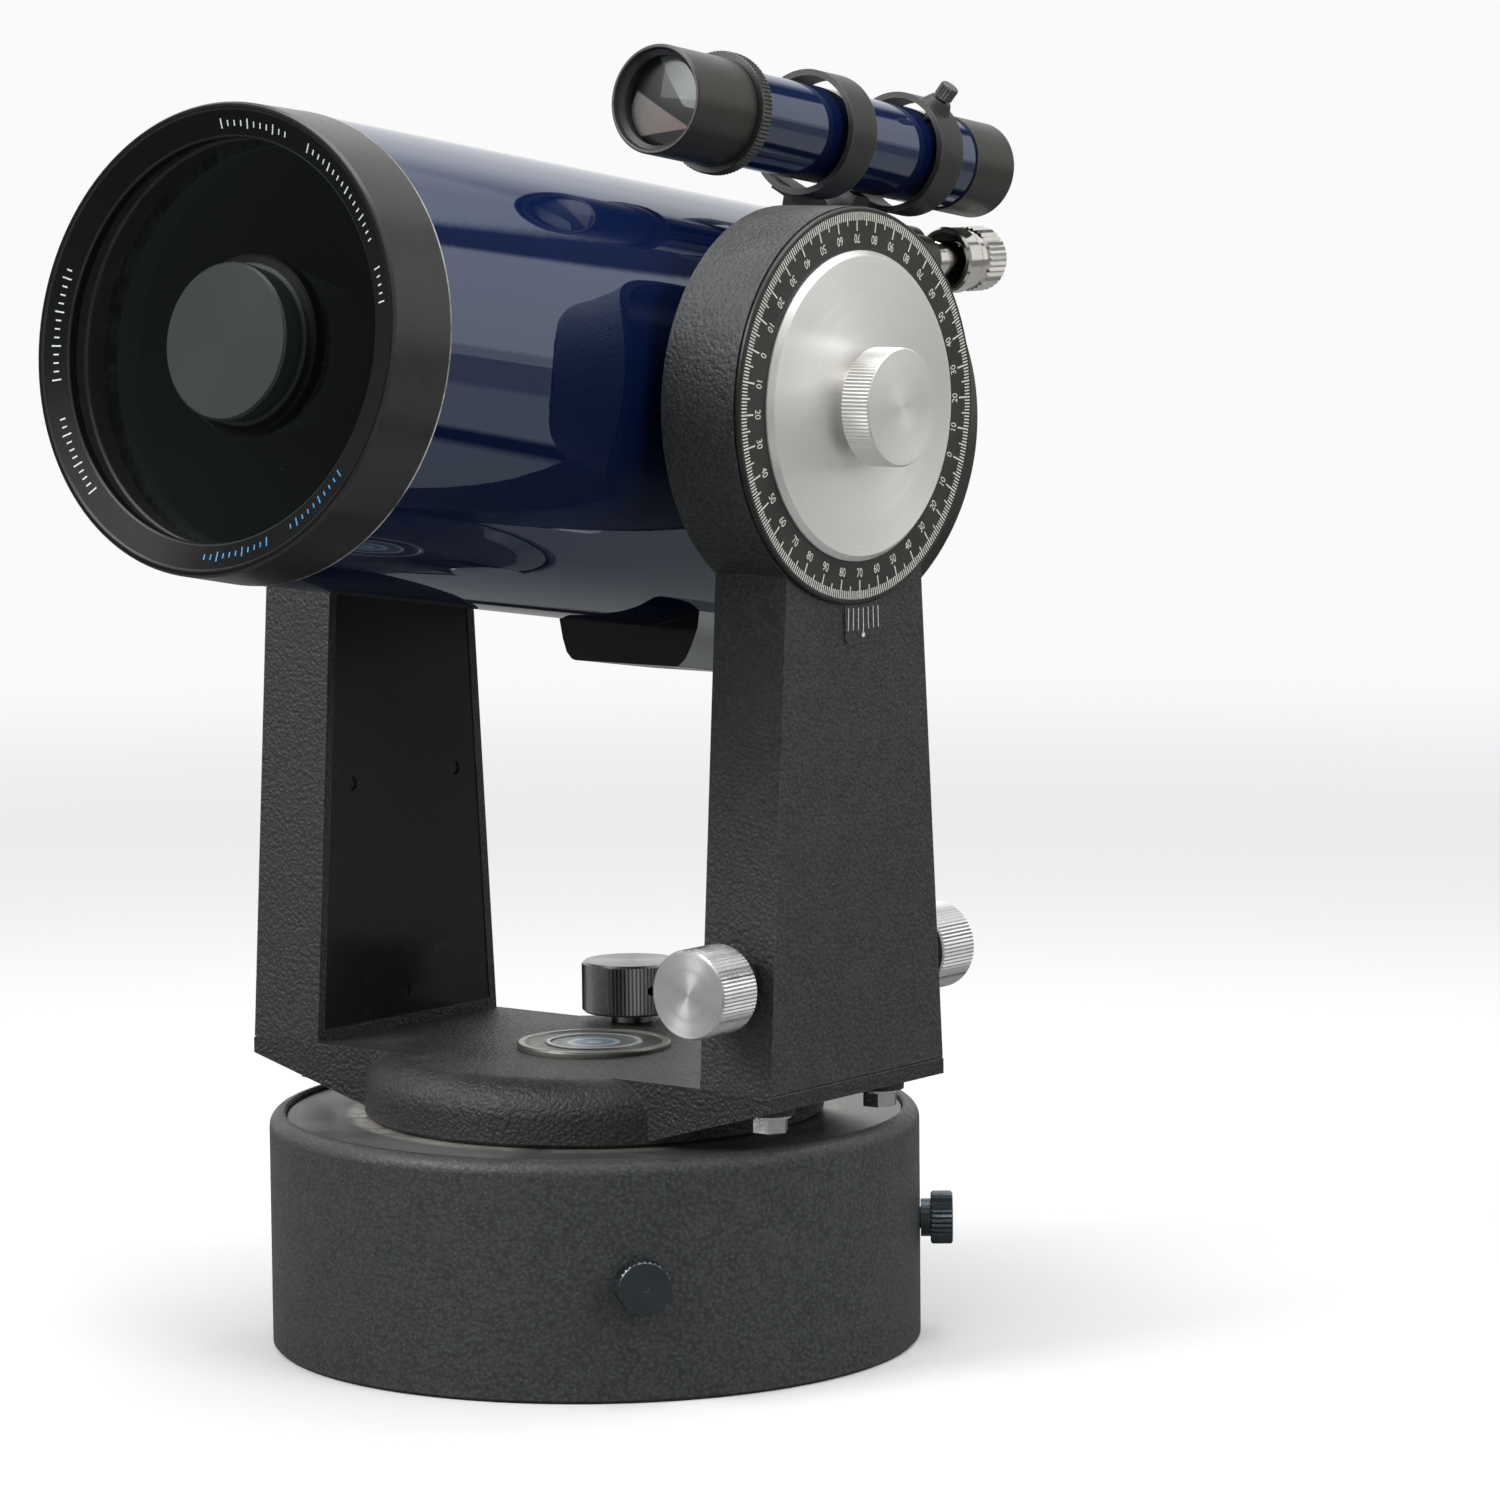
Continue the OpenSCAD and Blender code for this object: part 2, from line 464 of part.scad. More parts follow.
module dec_lock_knob() color([0.85, 0.85, 0.85]) tube_frame() along_x() difference() {
    translate([0, 0, 96.3]) knurled(lock_r, 8.8, 96, 0.3, 0.5);
    translate([0, 0, 90]) cylinder(r = 4.05, h = 13);
}

// ---- finder ----------------------------------------------------------------
module finder_bracket() color([0.1, 0.1, 0.1]) tube_frame() difference() {
    union() {
        finder_frame() {
            translate([0, ring_a, 0]) along_y() ring(17.1, 15.4, 11);
            translate([0, ring_b, 0]) along_y() ring(16.7, 15, 10.5);
            for (a = [10, -80]) translate([0, ring_b + 5.25, 0]) rotate([0, a, 0]) translate([0, 0, 15.6]) cylinder(r1 = 5, r2 = 3.1, h = 3.4);
        }
        rotate([0, fa, 0]) {
            // rail with its middle post and arches
            translate([-4, 0, 0]) rotate([90, 0, 90]) linear_extrude(height = 8)
                polygon(concat([[50, 58], [82.8, 58], [82.8, 70.2], [77.6, 70.2]], arc(75.5, 68.2, 2.2, 0, -160, 6),
                    [[72, 72.6], [65.8, 72.6]], arc(60, 71.6, 5.6, -10, -110, 6), [[54, 69.5], [47, 71], [38.2, 71], [39.4, 67.4], [46, 66.2]]));
        }
    }
    along_y() translate([0, 0, -20]) cylinder(r = tube_r, h = 140);
    finder_frame() translate([0, ring_b + 5.25, 0]) for (a = [10, -80]) rotate([0, a, 0]) cylinder(r = 1.55, h = 30);
}
module finder_tube() color([0.05, 0.08, 0.25]) tube_frame() finder_frame() along_y() translate([0, 0, -12]) ring(find_r, find_r - 1.2, 112);
module finder_objective() color([0.1, 0.1, 0.1]) tube_frame() finder_frame() along_y() turned([[0, -23], [11, -24.2], [12.4, -23],
    [12.4, -26], [11.9, -26.4], [11.9, -27.4], [13.3, -28.4], [13.6, -30], [14.3, -30], [14.6, -29.5], [14.6, -4.6], [14.2, -4.1],
    [12.95, -4.1], [12.95, -13], [11.6, -13], [11.6, -18], [0, -17]]);
module finder_lock_ring() color([0.12, 0.12, 0.12]) tube_frame() finder_frame() along_y() translate([0, 0, -4]) difference() {
    knurled(16.5, 4, 90, 0.35, 0.4);
    translate([0, 0, -1]) cylinder(r = 12.95, h = 6);
}
module finder_eyepiece() color([0.1, 0.1, 0.1]) tube_frame() finder_frame() along_y() difference() {
    turned([[0, 90], [11.7, 90], [11.7, 100], [13.4, 100], [13.4, 117.6], [12, 119.3], [8.5, 119.3], [6, 117], [0, 117]]);
    translate([0, 0, 112]) cylinder(r = 4, h = 10);
    translate([0, 0, 80]) cylinder(r = 9, h = 28);
}
module aim_screw(a) color([0.12, 0.12, 0.12]) tube_frame() finder_frame() translate([0, ring_b + 5.25, 0])
    rotate([0, a, 0]) {
        translate([0, 0, 12.92]) cylinder(r = 1.5, h = 8);
        translate([0, 0, 19.5]) knurled(2.7, 4.2, 18, 0.3, 0.4);
    }
module finder_aim_screw_right() aim_screw(10);
module finder_aim_screw_left() aim_screw(-80);

base_drum();
base_deck_plate();
base_bottom_plate();
bottom_plate_screws();
polar_bush();
drive_motor();
power_socket();
leg_knob_front();
leg_knob_right();
leg_knob_rear();
motor_pinion();
drive_gear();
clutch_washer();
fork_base();
fork_arm_right();
fork_arm_left();
arm_cover_right();
arm_cover_left();
arm_bolts();
polar_shaft();
polar_nut();
fork_badge();
dec_bushes();
dec_bearing_cap();
dec_screw_bushes();
ra_slow_knob();
ra_pinion();
dec_screw();
dec_slow_knobs();
dec_nut();
tangent_arm();
main_tube();
front_ring();
corrector_plate();
corrector_retainer();
secondary_holder();
secondary_baffle();
secondary_mirror();
rear_cell();
baffle_tube();
primary_mirror();
mirror_carrier();
focus_bush();
focus_knob();
focus_rod();
visual_back();
eyepiece_clamp_screw();
trunnion_right();
trunnion_left();
mounting_block();
setting_circle();
circle_disc();
dec_lock_knob();
finder_bracket();
finder_tube();
finder_objective();
finder_lock_ring();
finder_eyepiece();
finder_aim_screw_right();
finder_aim_screw_left();
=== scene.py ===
"""Looks for a small fork-mounted telescope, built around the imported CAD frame.

Metres, +Z up. The base stands on the floor at z = 0 and the right fork arm is on +X. The
tube looks towards -Y with its front end tilted up, and the finder rides above it, towards +X.
"""
import json
import math

import bmesh
import bpy
from mathutils import Matrix, Vector

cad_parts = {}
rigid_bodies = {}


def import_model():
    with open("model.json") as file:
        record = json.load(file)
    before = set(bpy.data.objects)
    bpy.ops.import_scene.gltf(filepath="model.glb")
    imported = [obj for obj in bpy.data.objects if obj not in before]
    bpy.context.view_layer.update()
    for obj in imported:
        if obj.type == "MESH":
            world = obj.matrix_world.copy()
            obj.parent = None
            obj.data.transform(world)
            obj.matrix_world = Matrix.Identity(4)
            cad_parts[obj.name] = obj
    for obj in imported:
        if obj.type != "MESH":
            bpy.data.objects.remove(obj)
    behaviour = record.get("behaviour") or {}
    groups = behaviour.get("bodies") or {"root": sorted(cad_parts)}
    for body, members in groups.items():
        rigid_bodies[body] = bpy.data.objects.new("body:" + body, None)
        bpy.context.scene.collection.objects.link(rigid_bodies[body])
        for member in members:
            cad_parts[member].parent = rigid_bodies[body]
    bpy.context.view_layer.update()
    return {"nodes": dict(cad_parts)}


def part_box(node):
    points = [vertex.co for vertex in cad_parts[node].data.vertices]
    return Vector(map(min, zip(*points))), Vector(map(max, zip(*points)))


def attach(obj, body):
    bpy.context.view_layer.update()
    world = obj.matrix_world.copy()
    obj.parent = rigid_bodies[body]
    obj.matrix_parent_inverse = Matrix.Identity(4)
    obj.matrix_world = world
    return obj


for old in list(bpy.data.objects):
    bpy.data.objects.remove(old)

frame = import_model()
PARTS = frame["nodes"]
scene = bpy.context.scene
MM = 0.001


def centre_of(part):
    low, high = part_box(part)
    return (low + high) / 2


# ---------------------------------------------------------------------------
# places
# ---------------------------------------------------------------------------
X, Y, Z = (1, 0, 0), (0, 1, 0), (0, 0, 1)
DEC = centre_of("setting_circle")
DIAL_FACE_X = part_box("setting_circle")[1].x
PAD_FACE_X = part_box("fork_arm_right")[1].x

TUBE_TILT = math.radians(8.3)
TUBE = Matrix.Translation((0, 0, DEC.z)) @ Matrix.Rotation(-TUBE_TILT, 4, "X")
TUBE_AXIS = (TUBE.to_3x3() @ Vector(Y)).normalized()

# the finder axis, measured square to the tube axis
FINDER_RIGHT, FINDER_RISE = 39.2, 76.5
FINDER = (TUBE @ Matrix.Rotation(math.atan2(FINDER_RIGHT, FINDER_RISE), 4, "Y")
          @ Matrix.Translation((0, 0, math.hypot(FINDER_RIGHT, FINDER_RISE) * MM)))

# finder lens; places along the finder axis, front towards -Y
LENS_RADIUS = 0.0122
LENS_CROWN_Y = -0.02505
LENS_SAG = 0.00085
LENS_BACK_Y = -0.0236

# (point, direction) of the axes that parts are turned about
ON_TUBE = (TUBE @ Vector((0, 0, 0)), TUBE_AXIS)
ON_FINDER = (FINDER @ Vector((0, 0, 0)), TUBE_AXIS)
ON_DEC = (DEC, X)
UPRIGHT = ((0, 0, 0), Z)

# heading of each leg knob in degrees, from +X towards +Y, and the height of their axes
LEG_HEADINGS = {"leg_knob_front": -44, "leg_knob_right": 36, "leg_knob_rear": 116}
LEG_KNOB_HEIGHT = 0.032


# ---------------------------------------------------------------------------
# a small node language
# ---------------------------------------------------------------------------
def scaled(color, factor):
    return tuple(c * factor for c in color)


class Graph:
    """A node tree. Inputs may be sockets, numbers, vectors or RGB colours."""

    def __init__(self, owner):
        owner.use_nodes = True
        self.tree = owner.node_tree
        self.tree.nodes.clear()

    def put(self, node, key, value):
        socket = node.inputs[key]
        if isinstance(value, bpy.types.NodeSocket):
            self.tree.links.new(value, socket)
        elif isinstance(value, (tuple, list)) and len(value) == 3 and socket.type == "RGBA":
            socket.default_value = (*value, 1)
        else:
            socket.default_value = value

    def node(self, kind, inputs=None, **props):
        node = self.tree.nodes.new(kind)
        for key, value in props.items():
            setattr(node, key, value)
        for key, value in (inputs or {}).items():
            self.put(node, key, value)
        return node

    def out(self, kind, inputs=None, **props):
        """The first output of a new node."""
        return self.node(kind, inputs, **props).outputs[0]

    def math(self, op, a, b=0.0, c=None):
        inputs = {0: a, 1: b}
        if c is not None:
            inputs[2] = c
        return self.out("ShaderNodeMath", inputs, operation=op)

    def mul(self, value, *factors):
        for factor in factors:
            value = self.math("MULTIPLY", value, factor)
        return value

    def add(self, value, *terms):
        for term in terms:
            value = self.math("ADD", value, term)
        return value

    def sub(self, a, b):
        return self.math("SUBTRACT", a, b)

    def vec(self, op, a, b=(0, 0, 0)):
        node = self.node("ShaderNodeVectorMath", {0: a, "Scale" if op == "SCALE" else 1: b},
                         operation=op)
        return node.outputs["Value" if op in ("LENGTH", "DOT_PRODUCT") else 0]

    def join(self, x, y, z):
        return self.out("ShaderNodeCombineXYZ", {0: x, 1: y, 2: z})

    def split(self, vector, index):
        return self.node("ShaderNodeSeparateXYZ", {0: vector}).outputs[index]

    def remap(self, value, over, to=(0.0, 1.0), smooth=False):
        """Carries the range `over` to the range `to`, clamped."""
        node = self.node("ShaderNodeMapRange",
                         {0: value, 1: over[0], 2: over[1], 3: to[0], 4: to[1]},
                         interpolation_type="SMOOTHSTEP" if smooth else "LINEAR")
        node.clamp = True
        return node.outputs[0]

    def ramp(self, factor, stops):
        """Colour ramp; stops are (position, colour)."""
        node = self.node("ShaderNodeValToRGB", {0: factor})
        elements = node.color_ramp.elements
        while len(elements) < len(stops):
            elements.new(0.5)
        for element, (position, color) in zip(elements, stops):
            element.position = position
            element.color = (*color, 1)
        return node.outputs[0]

    def blend(self, factor, a, b):
        """Mix of two shaders."""
        return self.out("ShaderNodeMixShader", {0: factor, 1: a, 2: b})


PRINCIPLED_INPUTS = {
    "color": "Base Color", "metal": "Metallic", "rough": "Roughness", "ior": "IOR",
    "normal": "Normal", "aniso": "Anisotropic", "rot": "Anisotropic Rotation",
    "tangent": "Tangent", "coat": "Coat Weight", "coat_rough": "Coat Roughness",
    "coat_ior": "Coat IOR", "spec": "Specular IOR Level", "spec_tint": "Specular Tint",
    "emit": "Emission Color", "emit_strength": "Emission Strength",
}


class Mat(Graph):
    """A material; patterns are laid out in object coordinates."""

    def __init__(self, name):
        self.material = bpy.data.materials.new(name)
        super().__init__(self.material)
        self.co = self.node("ShaderNodeTexCoord").outputs["Object"]

    def noise(self, scale, detail=3.0, rough=0.55, distortion=0.0, vec=None):
        node = self.node("ShaderNodeTexNoise",
                         {"Vector": self.co if vec is None else vec, "Scale": scale,
                          "Detail": detail, "Roughness": rough, "Distortion": distortion})
        return node.outputs["Fac"]

    def voronoi(self, scale, feature="F1"):
        return self.node("ShaderNodeTexVoronoi", {"Vector": self.co, "Scale": scale},
                         feature=feature)

    def mix(self, factor, a, b):
        node = self.node("ShaderNodeMix", data_type="RGBA")
        for key, value in ((0, factor), (6, a), (7, b)):
            self.put(node, key, value)
        return node.outputs[2]

    def bump(self, relief, depth, strength):
        return self.out("ShaderNodeBump",
                        {"Strength": strength, "Distance": depth, "Height": relief})

    def facing(self, direction, normal="Normal"):
        """Cosine between the surface normal and a direction."""
        normal = self.node("ShaderNodeNewGeometry").outputs[normal]
        return self.vec("DOT_PRODUCT", normal, tuple(direction))

    def edge(self, radius):
        """1 near convex edges and in tight corners, 0 on open faces."""
        rounded = self.out("ShaderNodeBevel", {"Radius": radius}, samples=4)
        normal = self.node("ShaderNodeNewGeometry").outputs["Normal"]
        turn = self.sub(1.0, self.vec("DOT_PRODUCT", rounded, normal))
        return self.remap(turn, over=(0.01, 0.12))

    def worn(self, base, color, amount, radius, patches, over):
        """Edges rubbed to another colour where the noise `patches` lies above `over`."""
        wear = self.mul(self.edge(radius), self.remap(self.noise(**patches), over), amount)
        return self.mix(wear, base, color)

    def around(self, axis_line):
        """(distance from an axis, distance along it, offset square to it)."""
        point, axis = axis_line
        offset = self.vec("SUBTRACT", self.co, tuple(point))
        along = self.vec("DOT_PRODUCT", offset, tuple(axis))
        across = self.vec("SUBTRACT", offset, self.vec("SCALE", self.join(*axis), along))
        return self.vec("LENGTH", across), along, across

    def tangent(self, axis, across):
        """World direction running round an axis."""
        turn = self.vec("NORMALIZE", self.vec("CROSS_PRODUCT", self.join(*axis), across))
        return self.out("ShaderNodeVectorTransform", {0: turn}, vector_type="VECTOR",
                        convert_from="OBJECT", convert_to="WORLD")

    def emission(self, color, strength):
        return self.out("ShaderNodeEmission", {"Color": color, "Strength": strength})

    def diffuse(self, color):
        return self.out("ShaderNodeBsdfDiffuse", {"Color": color})

    def done(self, surface):
        self.node("ShaderNodeOutputMaterial", {0: surface})
        return self.material

    def principled(self, **inputs):
        """Finishes the material with one principled surface."""
        return self.done(self.out("ShaderNodeBsdfPrincipled",
                                  {PRINCIPLED_INPUTS[k]: v for k, v in inputs.items()}))


# ---------------------------------------------------------------------------
# materials
# ---------------------------------------------------------------------------
def wrinkle_paint(name, tone, dust, size, depth):
    """Thick wrinkle paint over a casting: rounded cells with fine pits between them; tone scales
    the colour of each part up or down as painted light and shade.
    """
    mat = Mat(name)
    cells = mat.voronoi(scale=640 / size, feature="SMOOTH_F1")
    mat.put(cells, "Smoothness", 0.6)
    warp = mat.noise(scale=900 / size, detail=2.0, rough=0.5)
    fine = mat.noise(scale=2600 / size, detail=3.0, rough=0.6)
    broad = mat.noise(scale=120, detail=2.0, rough=0.5)
    relief = mat.add(mat.mul(cells.outputs["Distance"], -0.9), mat.mul(warp, 1.1),
                     mat.mul(fine, 0.28))
    # dust lies in patches, with stray specks, mostly on faces that look up
    normal = mat.node("ShaderNodeNewGeometry").outputs["Normal"]
    top = mat.remap(mat.split(normal, 2), over=(0.35, 1.0))
    patches = mat.remap(mat.noise(scale=55, detail=4.0, rough=0.6), over=(0.35, 0.75))
    specks = mat.remap(mat.noise(scale=1900, detail=1.0, rough=0.5), over=(0.66, 0.74))
    specks = mat.mul(specks, mat.add(mat.mul(top, 0.5), 0.12))
    base = mat.mix(mat.remap(relief, over=(0.05, 0.75)),
                   scaled((0.0105, 0.0118, 0.0120), tone), scaled((0.032, 0.0350, 0.0352), tone))
    base = mat.mix(mat.remap(broad, over=(0.3, 0.7), to=(0.0, 0.25)), base,
                   scaled((0.034, 0.035, 0.034), tone))
    base = mat.mix(mat.mul(top, patches, dust), base, (0.095, 0.092, 0.082))
    base = mat.mix(mat.mul(specks, dust), base, (0.23, 0.225, 0.20))
    base = mat.worn(base, color=(0.12, 0.12, 0.115), amount=0.5, radius=0.0007,
                    patches=dict(scale=260, detail=3.0, rough=0.6), over=(0.42, 0.70))
    gloss = mat.noise(scale=700, detail=2.0, rough=0.5)
    return mat.principled(color=base, rough=mat.remap(gloss, over=(0.3, 0.7), to=(0.42, 0.58)),
                          spec=0.55, normal=mat.bump(relief, depth=0.00026 * depth, strength=0.85))


def satin_black(name, about=None, color=(0.020, 0.020, 0.0175), rough=0.34, grain=1.0, wear=0.55,
                front=None, front_spec=0.16, dull_over=None, rim=None):
    """Satin black finish; parts turned about an axis carry fine lathe lines round it.

    front: colour of the faces that look down the tube; on the front ring it is darker, painted
    shade on the cone.
    dull_over: radii between which the finish fades to dead black; on the front ring this is painted
    shade in the bore.
    rim: place along the axis where a painted highlight line runs round the rear edge.
    """
    mat = Mat(name)
    mottle = mat.noise(scale=240, detail=4.0, rough=0.55)
    relief = mat.mul(mat.noise(scale=2400, detail=2.0, rough=0.5), 0.6)
    brushed = {}
    if about is not None:
        axis = about[1]
        radius, along, across = mat.around(about)
        lines = mat.noise(scale=5200.0, detail=2.0, rough=0.5, vec=mat.join(radius, along, 0.0))
        relief = mat.add(relief, mat.mul(lines, grain))
        brushed = dict(tangent=mat.tangent(axis, across), rot=0.25, aniso=0.35 * grain)
    base = mat.mix(mat.remap(mottle, over=(0.35, 0.7)), color,
                   tuple(c * 1.18 + 0.0006 for c in color))
    base = mat.worn(base, color=(0.20, 0.20, 0.19), amount=wear, radius=0.0004,
                    patches=dict(scale=320, detail=3.0, rough=0.6), over=(0.38, 0.62))
    spec = 0.5
    # faces that look down the tube take the front colour; on the front ring this is painted shade
    if front is not None:
        forward = mat.remap(mat.mul(mat.facing(axis), -1.0), over=(0.80, 0.90))
        base = mat.mix(forward, base, front)
        spec = mat.remap(forward, over=(0.0, 1.0), to=(0.5, front_spec))
    # on the front ring this darkens the bore to dead black as painted shade
    if dull_over is not None:
        dull = mat.remap(radius, dull_over)
        base = mat.mix(dull, base, (0.0045, 0.0050, 0.0050))
        spec = mat.mul(spec, mat.remap(dull, over=(0.0, 1.0), to=(1.0, 0.30)))
    # painted highlight: a pale line round the rear edge, broken up by noise
    if rim is not None:
        rim_highlight = mat.mul(mat.remap(along, over=(rim - 0.0002, rim)),
                       mat.remap(radius, over=(0.05985, 0.0600)),
                       mat.remap(mat.noise(scale=90, detail=3.0, rough=0.6), over=(0.30, 0.55)))
        base = mat.mix(rim_highlight, base, (0.42, 0.42, 0.40))
    return mat.principled(
        color=base, rough=mat.remap(mottle, over=(0.3, 0.7), to=(rough - 0.015, rough + 0.02)),
        normal=mat.bump(relief, depth=0.000012, strength=0.6), spec=spec, **brushed)


def gloss_black(name, color=(0.006, 0.006, 0.007), rough=0.16, painted_sheen_x=False):
    """Gloss black with faint scratches; the last argument turns the faces towards +-X to light
    grey satin metal, a painted reflection.
    """
    mat = Mat(name)
    swirl = mat.noise(scale=35, detail=3.0, rough=0.5)
    peel = mat.noise(scale=330, detail=2.0, rough=0.5)
    scratch = mat.remap(mat.noise(scale=90, detail=6.0, rough=0.7, distortion=2.5),
                        over=(0.60, 0.66))
    base = mat.mix(mat.mul(scratch, 0.35), color, (0.03, 0.03, 0.032))
    base = mat.worn(base, color=(0.14, 0.14, 0.14), amount=0.4, radius=0.0005,
                    patches=dict(scale=300, detail=2.0, rough=0.6), over=(0.35, 0.6))
    rough = mat.remap(swirl, over=(0.3, 0.7), to=(rough - 0.04, rough + 0.07))
    metal = 0.0
    # painted reflection: the faces towards +-X become light grey metal
    if painted_sheen_x:
        metal = mat.remap(mat.math("ABSOLUTE", mat.facing(X)), over=(0.40, 0.62))
        base = mat.mix(metal, base, (0.42, 0.44, 0.45))
        rough = mat.add(rough, mat.mul(metal, 0.25))
    return mat.principled(color=base, rough=rough, spec=0.10 if painted_sheen_x else 0.28, metal=metal,
                          normal=mat.bump(peel, depth=0.00003, strength=0.35))


def navy_enamel(name, about, bore):
    """Deep blue lacquered enamel with a trace of orange peel and a few dust nibs, with painted
    light
    and shade: lighter and bluer on faces that look up, darker and greyer on faces that look down;
    flat black within the radius `bore`."""
    mat = Mat(name)
    tone = mat.noise(scale=22, detail=2.0, rough=0.5)
    base = mat.mix(mat.remap(tone, over=(0.35, 0.65)),
                   (0.0014, 0.0052, 0.0270), (0.0020, 0.0070, 0.0350))
    # one cell in ten holds a nib
    cells = mat.voronoi(scale=120.0).outputs
    red = mat.out("ShaderNodeSeparateColor", {0: cells["Color"]})
    picked = mat.math("GREATER_THAN", red, 0.90)
    nibs = mat.mul(mat.math("LESS_THAN", cells["Distance"], 0.028), picked)
    base = mat.mix(mat.mul(nibs, 0.75), base, (0.36, 0.38, 0.42))
    flakes = mat.remap(mat.voronoi(scale=5200).outputs["Distance"], over=(0.0, 0.5), to=(1.0, 0.0))
    peel = mat.noise(scale=210, detail=2.0, rough=0.5)
    hairlines = mat.remap(mat.noise(scale=40, detail=8.0, rough=0.75, distortion=3.0),
                          over=(0.57, 0.60))
    rough = mat.add(0.018, mat.mul(hairlines, 0.03))
    outside = mat.math("GREATER_THAN", mat.around(about)[0], bore)
    # painted light and shade: lighter and bluer where it looks up, darker and greyer where it looks
    # down
    up = mat.facing(Z)
    base = mat.mix(mat.remap(up, over=(0.10, 0.75), to=(0.0, 0.55)), base,
                   (0.0050, 0.0140, 0.0640))
    base = mat.mix(mat.remap(up, over=(0.05, -0.60), to=(0.0, 0.45)), base,
                   (0.0028, 0.0046, 0.0130))
    base = mat.mix(outside, (0.004, 0.004, 0.004), base)
    base = mat.mix(mat.mul(outside, mat.remap(flakes, over=(0.2, 0.9), to=(0.0, 0.18))), base,
                   (0.004, 0.014, 0.075))
    return mat.principled(
        color=base, rough=mat.sub(1.0, mat.mul(outside, mat.sub(1.0, rough))),
        spec=mat.mul(outside, 0.5), ior=2.25, spec_tint=(0.72, 0.83, 1.0, 1.0),
        normal=mat.bump(peel, depth=0.000012, strength=0.6))


def turned_metal(name, about, color, rough, aniso, pitch=2600.0, depth=0.000008, metal=1.0):
    """Lathe-turned metal: fine tool lines round the axis; pitch is their noise scale."""
    mat = Mat(name)
    radius, along, across = mat.around(about)
    key = mat.join(radius, mat.mul(along, 0.8), 0.0)
    fine = mat.noise(scale=pitch, detail=3.0, rough=0.6, vec=key)
    coarse = mat.noise(scale=pitch / 9, detail=2.0, rough=0.5, vec=key)
    relief = mat.add(mat.mul(fine, 0.7), mat.mul(coarse, 0.5))
    cloud = mat.noise(scale=60, detail=3.0, rough=0.5)
    warmer = tuple(c * k for c, k in zip(color, (0.97, 0.94, 0.92)))
    base = mat.mix(mat.remap(fine, over=(0.3, 0.7), to=(0.0, 0.30)), color, scaled(color, 0.80))
    base = mat.mix(mat.remap(cloud, over=(0.35, 0.7), to=(0.0, 0.08)), base, warmer)
    base = mat.worn(base, color=(0.95, 0.95, 0.95), amount=0.3, radius=0.0003,
                    patches=dict(scale=500, detail=2.0, rough=0.5), over=(0.55, 0.65))
    return mat.principled(
        color=base, metal=metal, aniso=aniso, rot=0.25, tangent=mat.tangent(about[1], across),
        rough=mat.remap(coarse, over=(0.3, 0.7), to=(rough - 0.03, rough + 0.05)),
        normal=mat.bump(relief, depth=depth, strength=0.8))


def chrome(name):
    mat = Mat(name)
    smear = mat.noise(scale=150, detail=5.0, rough=0.7, distortion=1.0)
    base = mat.mix(mat.remap(smear, over=(0.4, 0.75), to=(0.0, 0.35)),
                   (0.84, 0.82, 0.78), (0.62, 0.60, 0.56))
    ripple = mat.noise(scale=900, detail=2.0)
    return mat.principled(color=base, metal=1.0,
                          rough=mat.remap(smear, over=(0.3, 0.8), to=(0.09, 0.20)),
                          normal=mat.bump(ripple, depth=0.000004, strength=0.4))


def plain_metal(name, color, rough=0.32):
    mat = Mat(name)
    grain = mat.noise(scale=420.0, detail=4.0, rough=0.6)
    spots = mat.remap(mat.noise(scale=70, detail=3.0, rough=0.6), over=(0.55, 0.7))
    base = mat.mix(mat.remap(grain, over=(0.3, 0.7), to=(0.0, 0.45)), color, scaled(color, 0.62))
    base = mat.mix(mat.mul(spots, 0.35), base, scaled(color, 0.45))
    ripple = mat.noise(scale=1800, detail=2.0)
    return mat.principled(
        color=base, metal=1.0,
        rough=mat.remap(grain, over=(0.3, 0.7), to=(rough - 0.07, rough + 0.1)),
        normal=mat.bump(ripple, depth=0.00001, strength=0.5))


def deck(name):
    """Bare machined deck, rubbed dark by use, with a pale band round the foot of the fork that is
    made strongest towards -X as painted light.
    """
    mat = Mat(name)
    radius = mat.around(UPRIGHT)[0]
    patch = mat.noise(scale=24, detail=4.0, rough=0.6, distortion=0.6)
    rings = mat.noise(scale=3200.0, detail=3.0, rough=0.5, vec=mat.join(radius, 0.0, 0.0))
    scratch = mat.remap(mat.noise(scale=110, detail=8.0, rough=0.78, distortion=3.5),
                        over=(0.615, 0.65))
    base = mat.ramp(mat.remap(patch, over=(0.32, 0.68)),
                    [(0.0, (0.030, 0.031, 0.030)), (0.45, (0.085, 0.088, 0.084)),
                     (1.0, (0.20, 0.205, 0.20))])
    base = mat.mix(mat.remap(rings, over=(0.35, 0.7), to=(0.0, 0.35)), base, (0.26, 0.26, 0.25))
    base = mat.mix(mat.mul(scratch, 0.55), base, (0.42, 0.42, 0.40))
    # a pale band round the foot, made strongest towards -X as painted light from the key side
    pale_band_painted_light = mat.mul(mat.remap(radius, over=(0.0685, 0.0655), smooth=True),
                   mat.remap(mat.noise(scale=75, detail=4.0, rough=0.65), over=(0.36, 0.50)),
                   mat.remap(mat.split(mat.co, 0), over=(0.030, -0.030), to=(0.25, 1.0)))
    base = mat.mix(pale_band_painted_light, base, (0.52, 0.50, 0.43))
    rim = mat.remap(radius, over=(0.0822, 0.0836))
    base = mat.mix(mat.mul(rim, 0.45), base, (0.30, 0.30, 0.29))
    relief = mat.add(mat.mul(rings, 0.6), mat.mul(scratch, 0.5))
    return mat.principled(color=base, metal=0.45,
                          rough=mat.remap(patch, over=(0.3, 0.7), to=(0.30, 0.46)),
                          normal=mat.bump(relief, depth=0.00002, strength=0.6))


